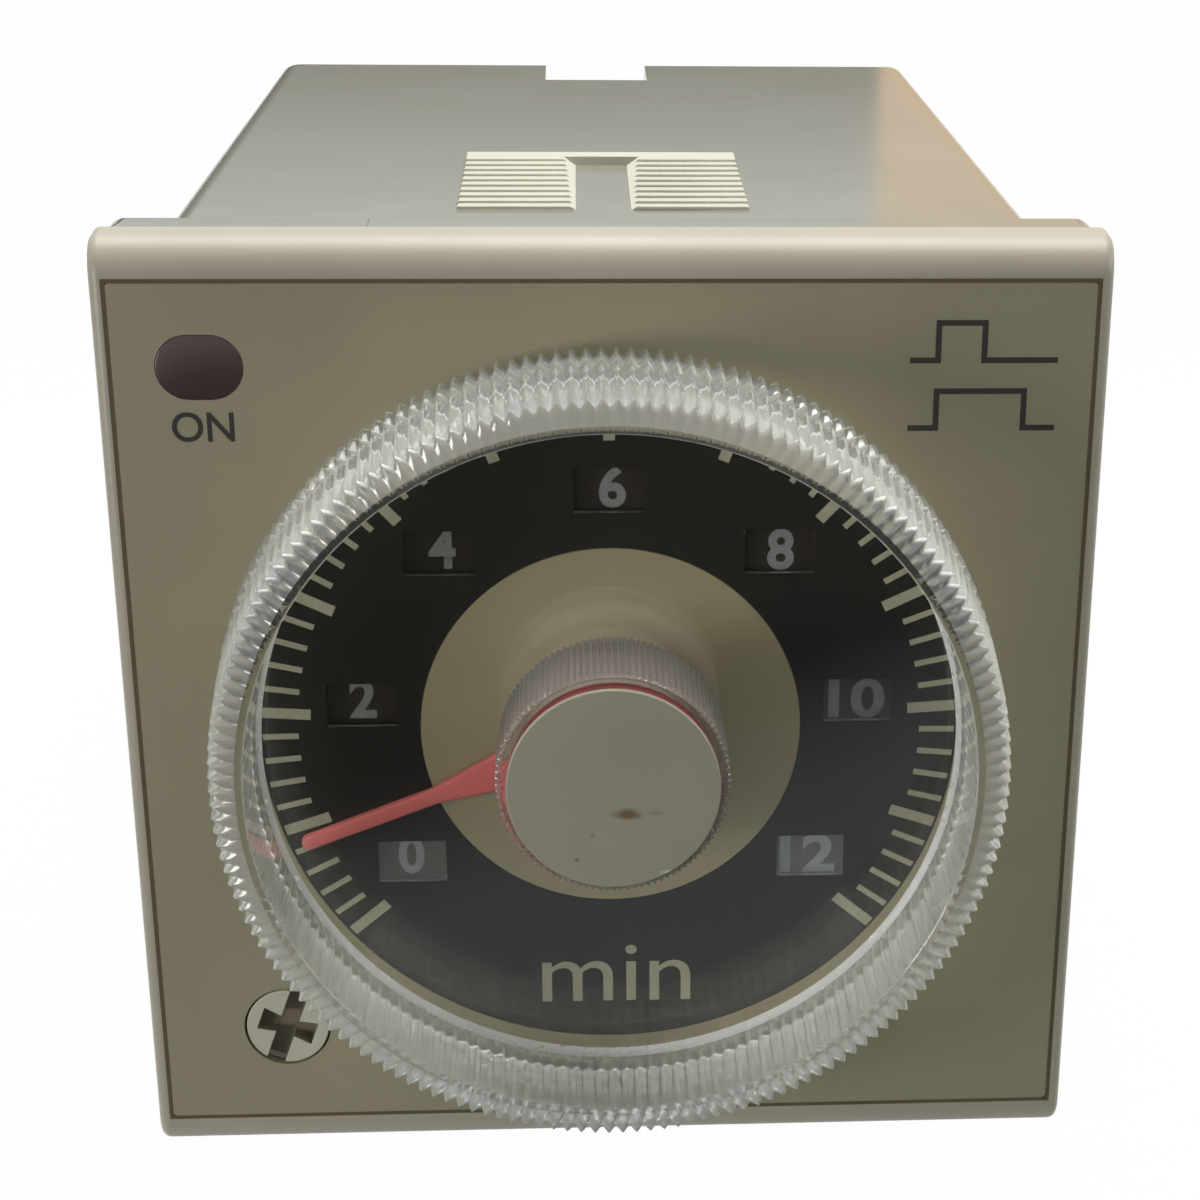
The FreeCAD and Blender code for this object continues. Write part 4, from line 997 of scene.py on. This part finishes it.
def graded_card(name, corners, direction, start, end, near, far):
    """A card hidden from the camera and from shadows, graded along a direction in millimetres."""
    material = new_material(name + "_paper")
    place = add_node(material, "ShaderNodeTexCoord").outputs["Object"]
    along = add_node(material, "ShaderNodeVectorMath", {0: place, 1: direction}, operation="DOT_PRODUCT")
    share = add_node(material, "ShaderNodeMapRange", {
        "Value": along.outputs["Value"], "From Min": start * MM, "From Max": end * MM})
    tone = add_node(material, "ShaderNodeMix", {
        "Factor": share.outputs[0], 6: linear(near), 7: linear(far)}, data_type="RGBA")
    glow = add_node(material, "ShaderNodeEmission", {"Color": tone.outputs[2], "Strength": 1.0})
    finish_surface(material, glow)
    card = add_stage(name, corners, material)
    card.visible_camera = False
    card.visible_shadow = False


def rear_corners(left, right):
    """The corners of an upright card behind the object."""
    y, low, high = REAR_CARD_PLACE, REAR_CARD_LOW, REAR_CARD_HIGH
    return [(left, y, low), (right, y, low), (right, y, high), (left, y, high)]


def studio_cards():
    """A dark card on the floor in front and two upright ones behind, for the gloss to show."""
    level = bezel.bottom + CARD_LIFT
    half, near, far = FRONT_CARD_HALF, FRONT_CARD_NEAR, FRONT_CARD_FAR
    graded_card("front_card", [(-half, near, level), (half, near, level), (half, far, level),
                               (-half, far, level)],
                direction=(-0.77, -1, 0), start=45, end=70, near="#868C8E", far="#161514")
    graded_card("rear_card", rear_corners(REAR_CARD_LEFT, REAR_CARD_SPLIT),
                direction=(0, 0, 1), start=58, end=88, near="#2A2A28", far="#DDE1E3")
    graded_card("tan_card", rear_corners(REAR_CARD_SPLIT, REAR_CARD_RIGHT),
                direction=(0, 0, 1), start=52, end=88, near="#D8B48C", far="#E7CBA6")


def studio_lamps():
    for name, (place, aim, size, power) in SOFTBOXES.items():
        lamp = bpy.data.lights.new(name, "AREA")
        lamp.shape = "RECTANGLE"
        lamp.size, lamp.size_y = (side * MM for side in size)
        lamp.energy = power
        item = bpy.data.objects.new(name, lamp)
        bpy.context.scene.collection.objects.link(item)
        item.location = Vector(place) * MM
        direction = Vector(aim) * MM - item.location
        item.rotation_euler = direction.to_track_quat("-Z", "Y").to_euler()


# The camera, fitted to the object's edges in the photograph: its place in millimetres, the turn
# from looking straight along +Y, and its focal length and centre in pixels
IMAGE_SIDE = 1200
CAMERA_PLACE = (-1.2788, -123.5625, 47.9852)
CAMERA_TURN = (0.391817, -0.06579, 0.000634)
FOCAL_PIXELS = 2550.72
CENTRE_PIXEL = (749.5, 732.6)
SENSOR = 36.0
NEAREST_SEEN = 5.0
STRAIGHT_AHEAD = Matrix(((1, 0, 0), (0, 0, -1), (0, 1, 0)))


def add_camera():
    data = bpy.data.cameras.new("camera")
    data.sensor_width = SENSOR
    data.lens = FOCAL_PIXELS / IMAGE_SIDE * SENSOR
    data.shift_x = -(CENTRE_PIXEL[0] / IMAGE_SIDE - 0.5)
    data.shift_y = CENTRE_PIXEL[1] / IMAGE_SIDE - 0.5
    data.clip_start = NEAREST_SEEN * MM
    turn = Vector(CAMERA_TURN)
    right, down, ahead = Matrix.Rotation(turn.length, 3, turn.normalized()) @ STRAIGHT_AHEAD
    facing = Matrix((right, -down, -ahead)).transposed().to_4x4()
    item = bpy.data.objects.new("camera", data)
    bpy.context.scene.collection.objects.link(item)
    item.matrix_world = Matrix.Translation(Vector(CAMERA_PLACE) * MM) @ facing
    bpy.context.scene.camera = item


make_dial()
make_pointer()
make_cap()
make_scale_label()
make_scale_marks()
make_numbers()
make_windows()
make_lamp()
make_diagram()
dress_case()
dress_bezel()
dress_panel()
dress_selector()
refined("plug_base", base_phenolic, "housing", bevel=PLUG_EDGE)
dress_inside()
make_gap_dust()

bpy.context.scene.view_settings.view_transform = "Standard"
studio_floor()
studio_world()
studio_cards()
studio_lamps()
add_camera()
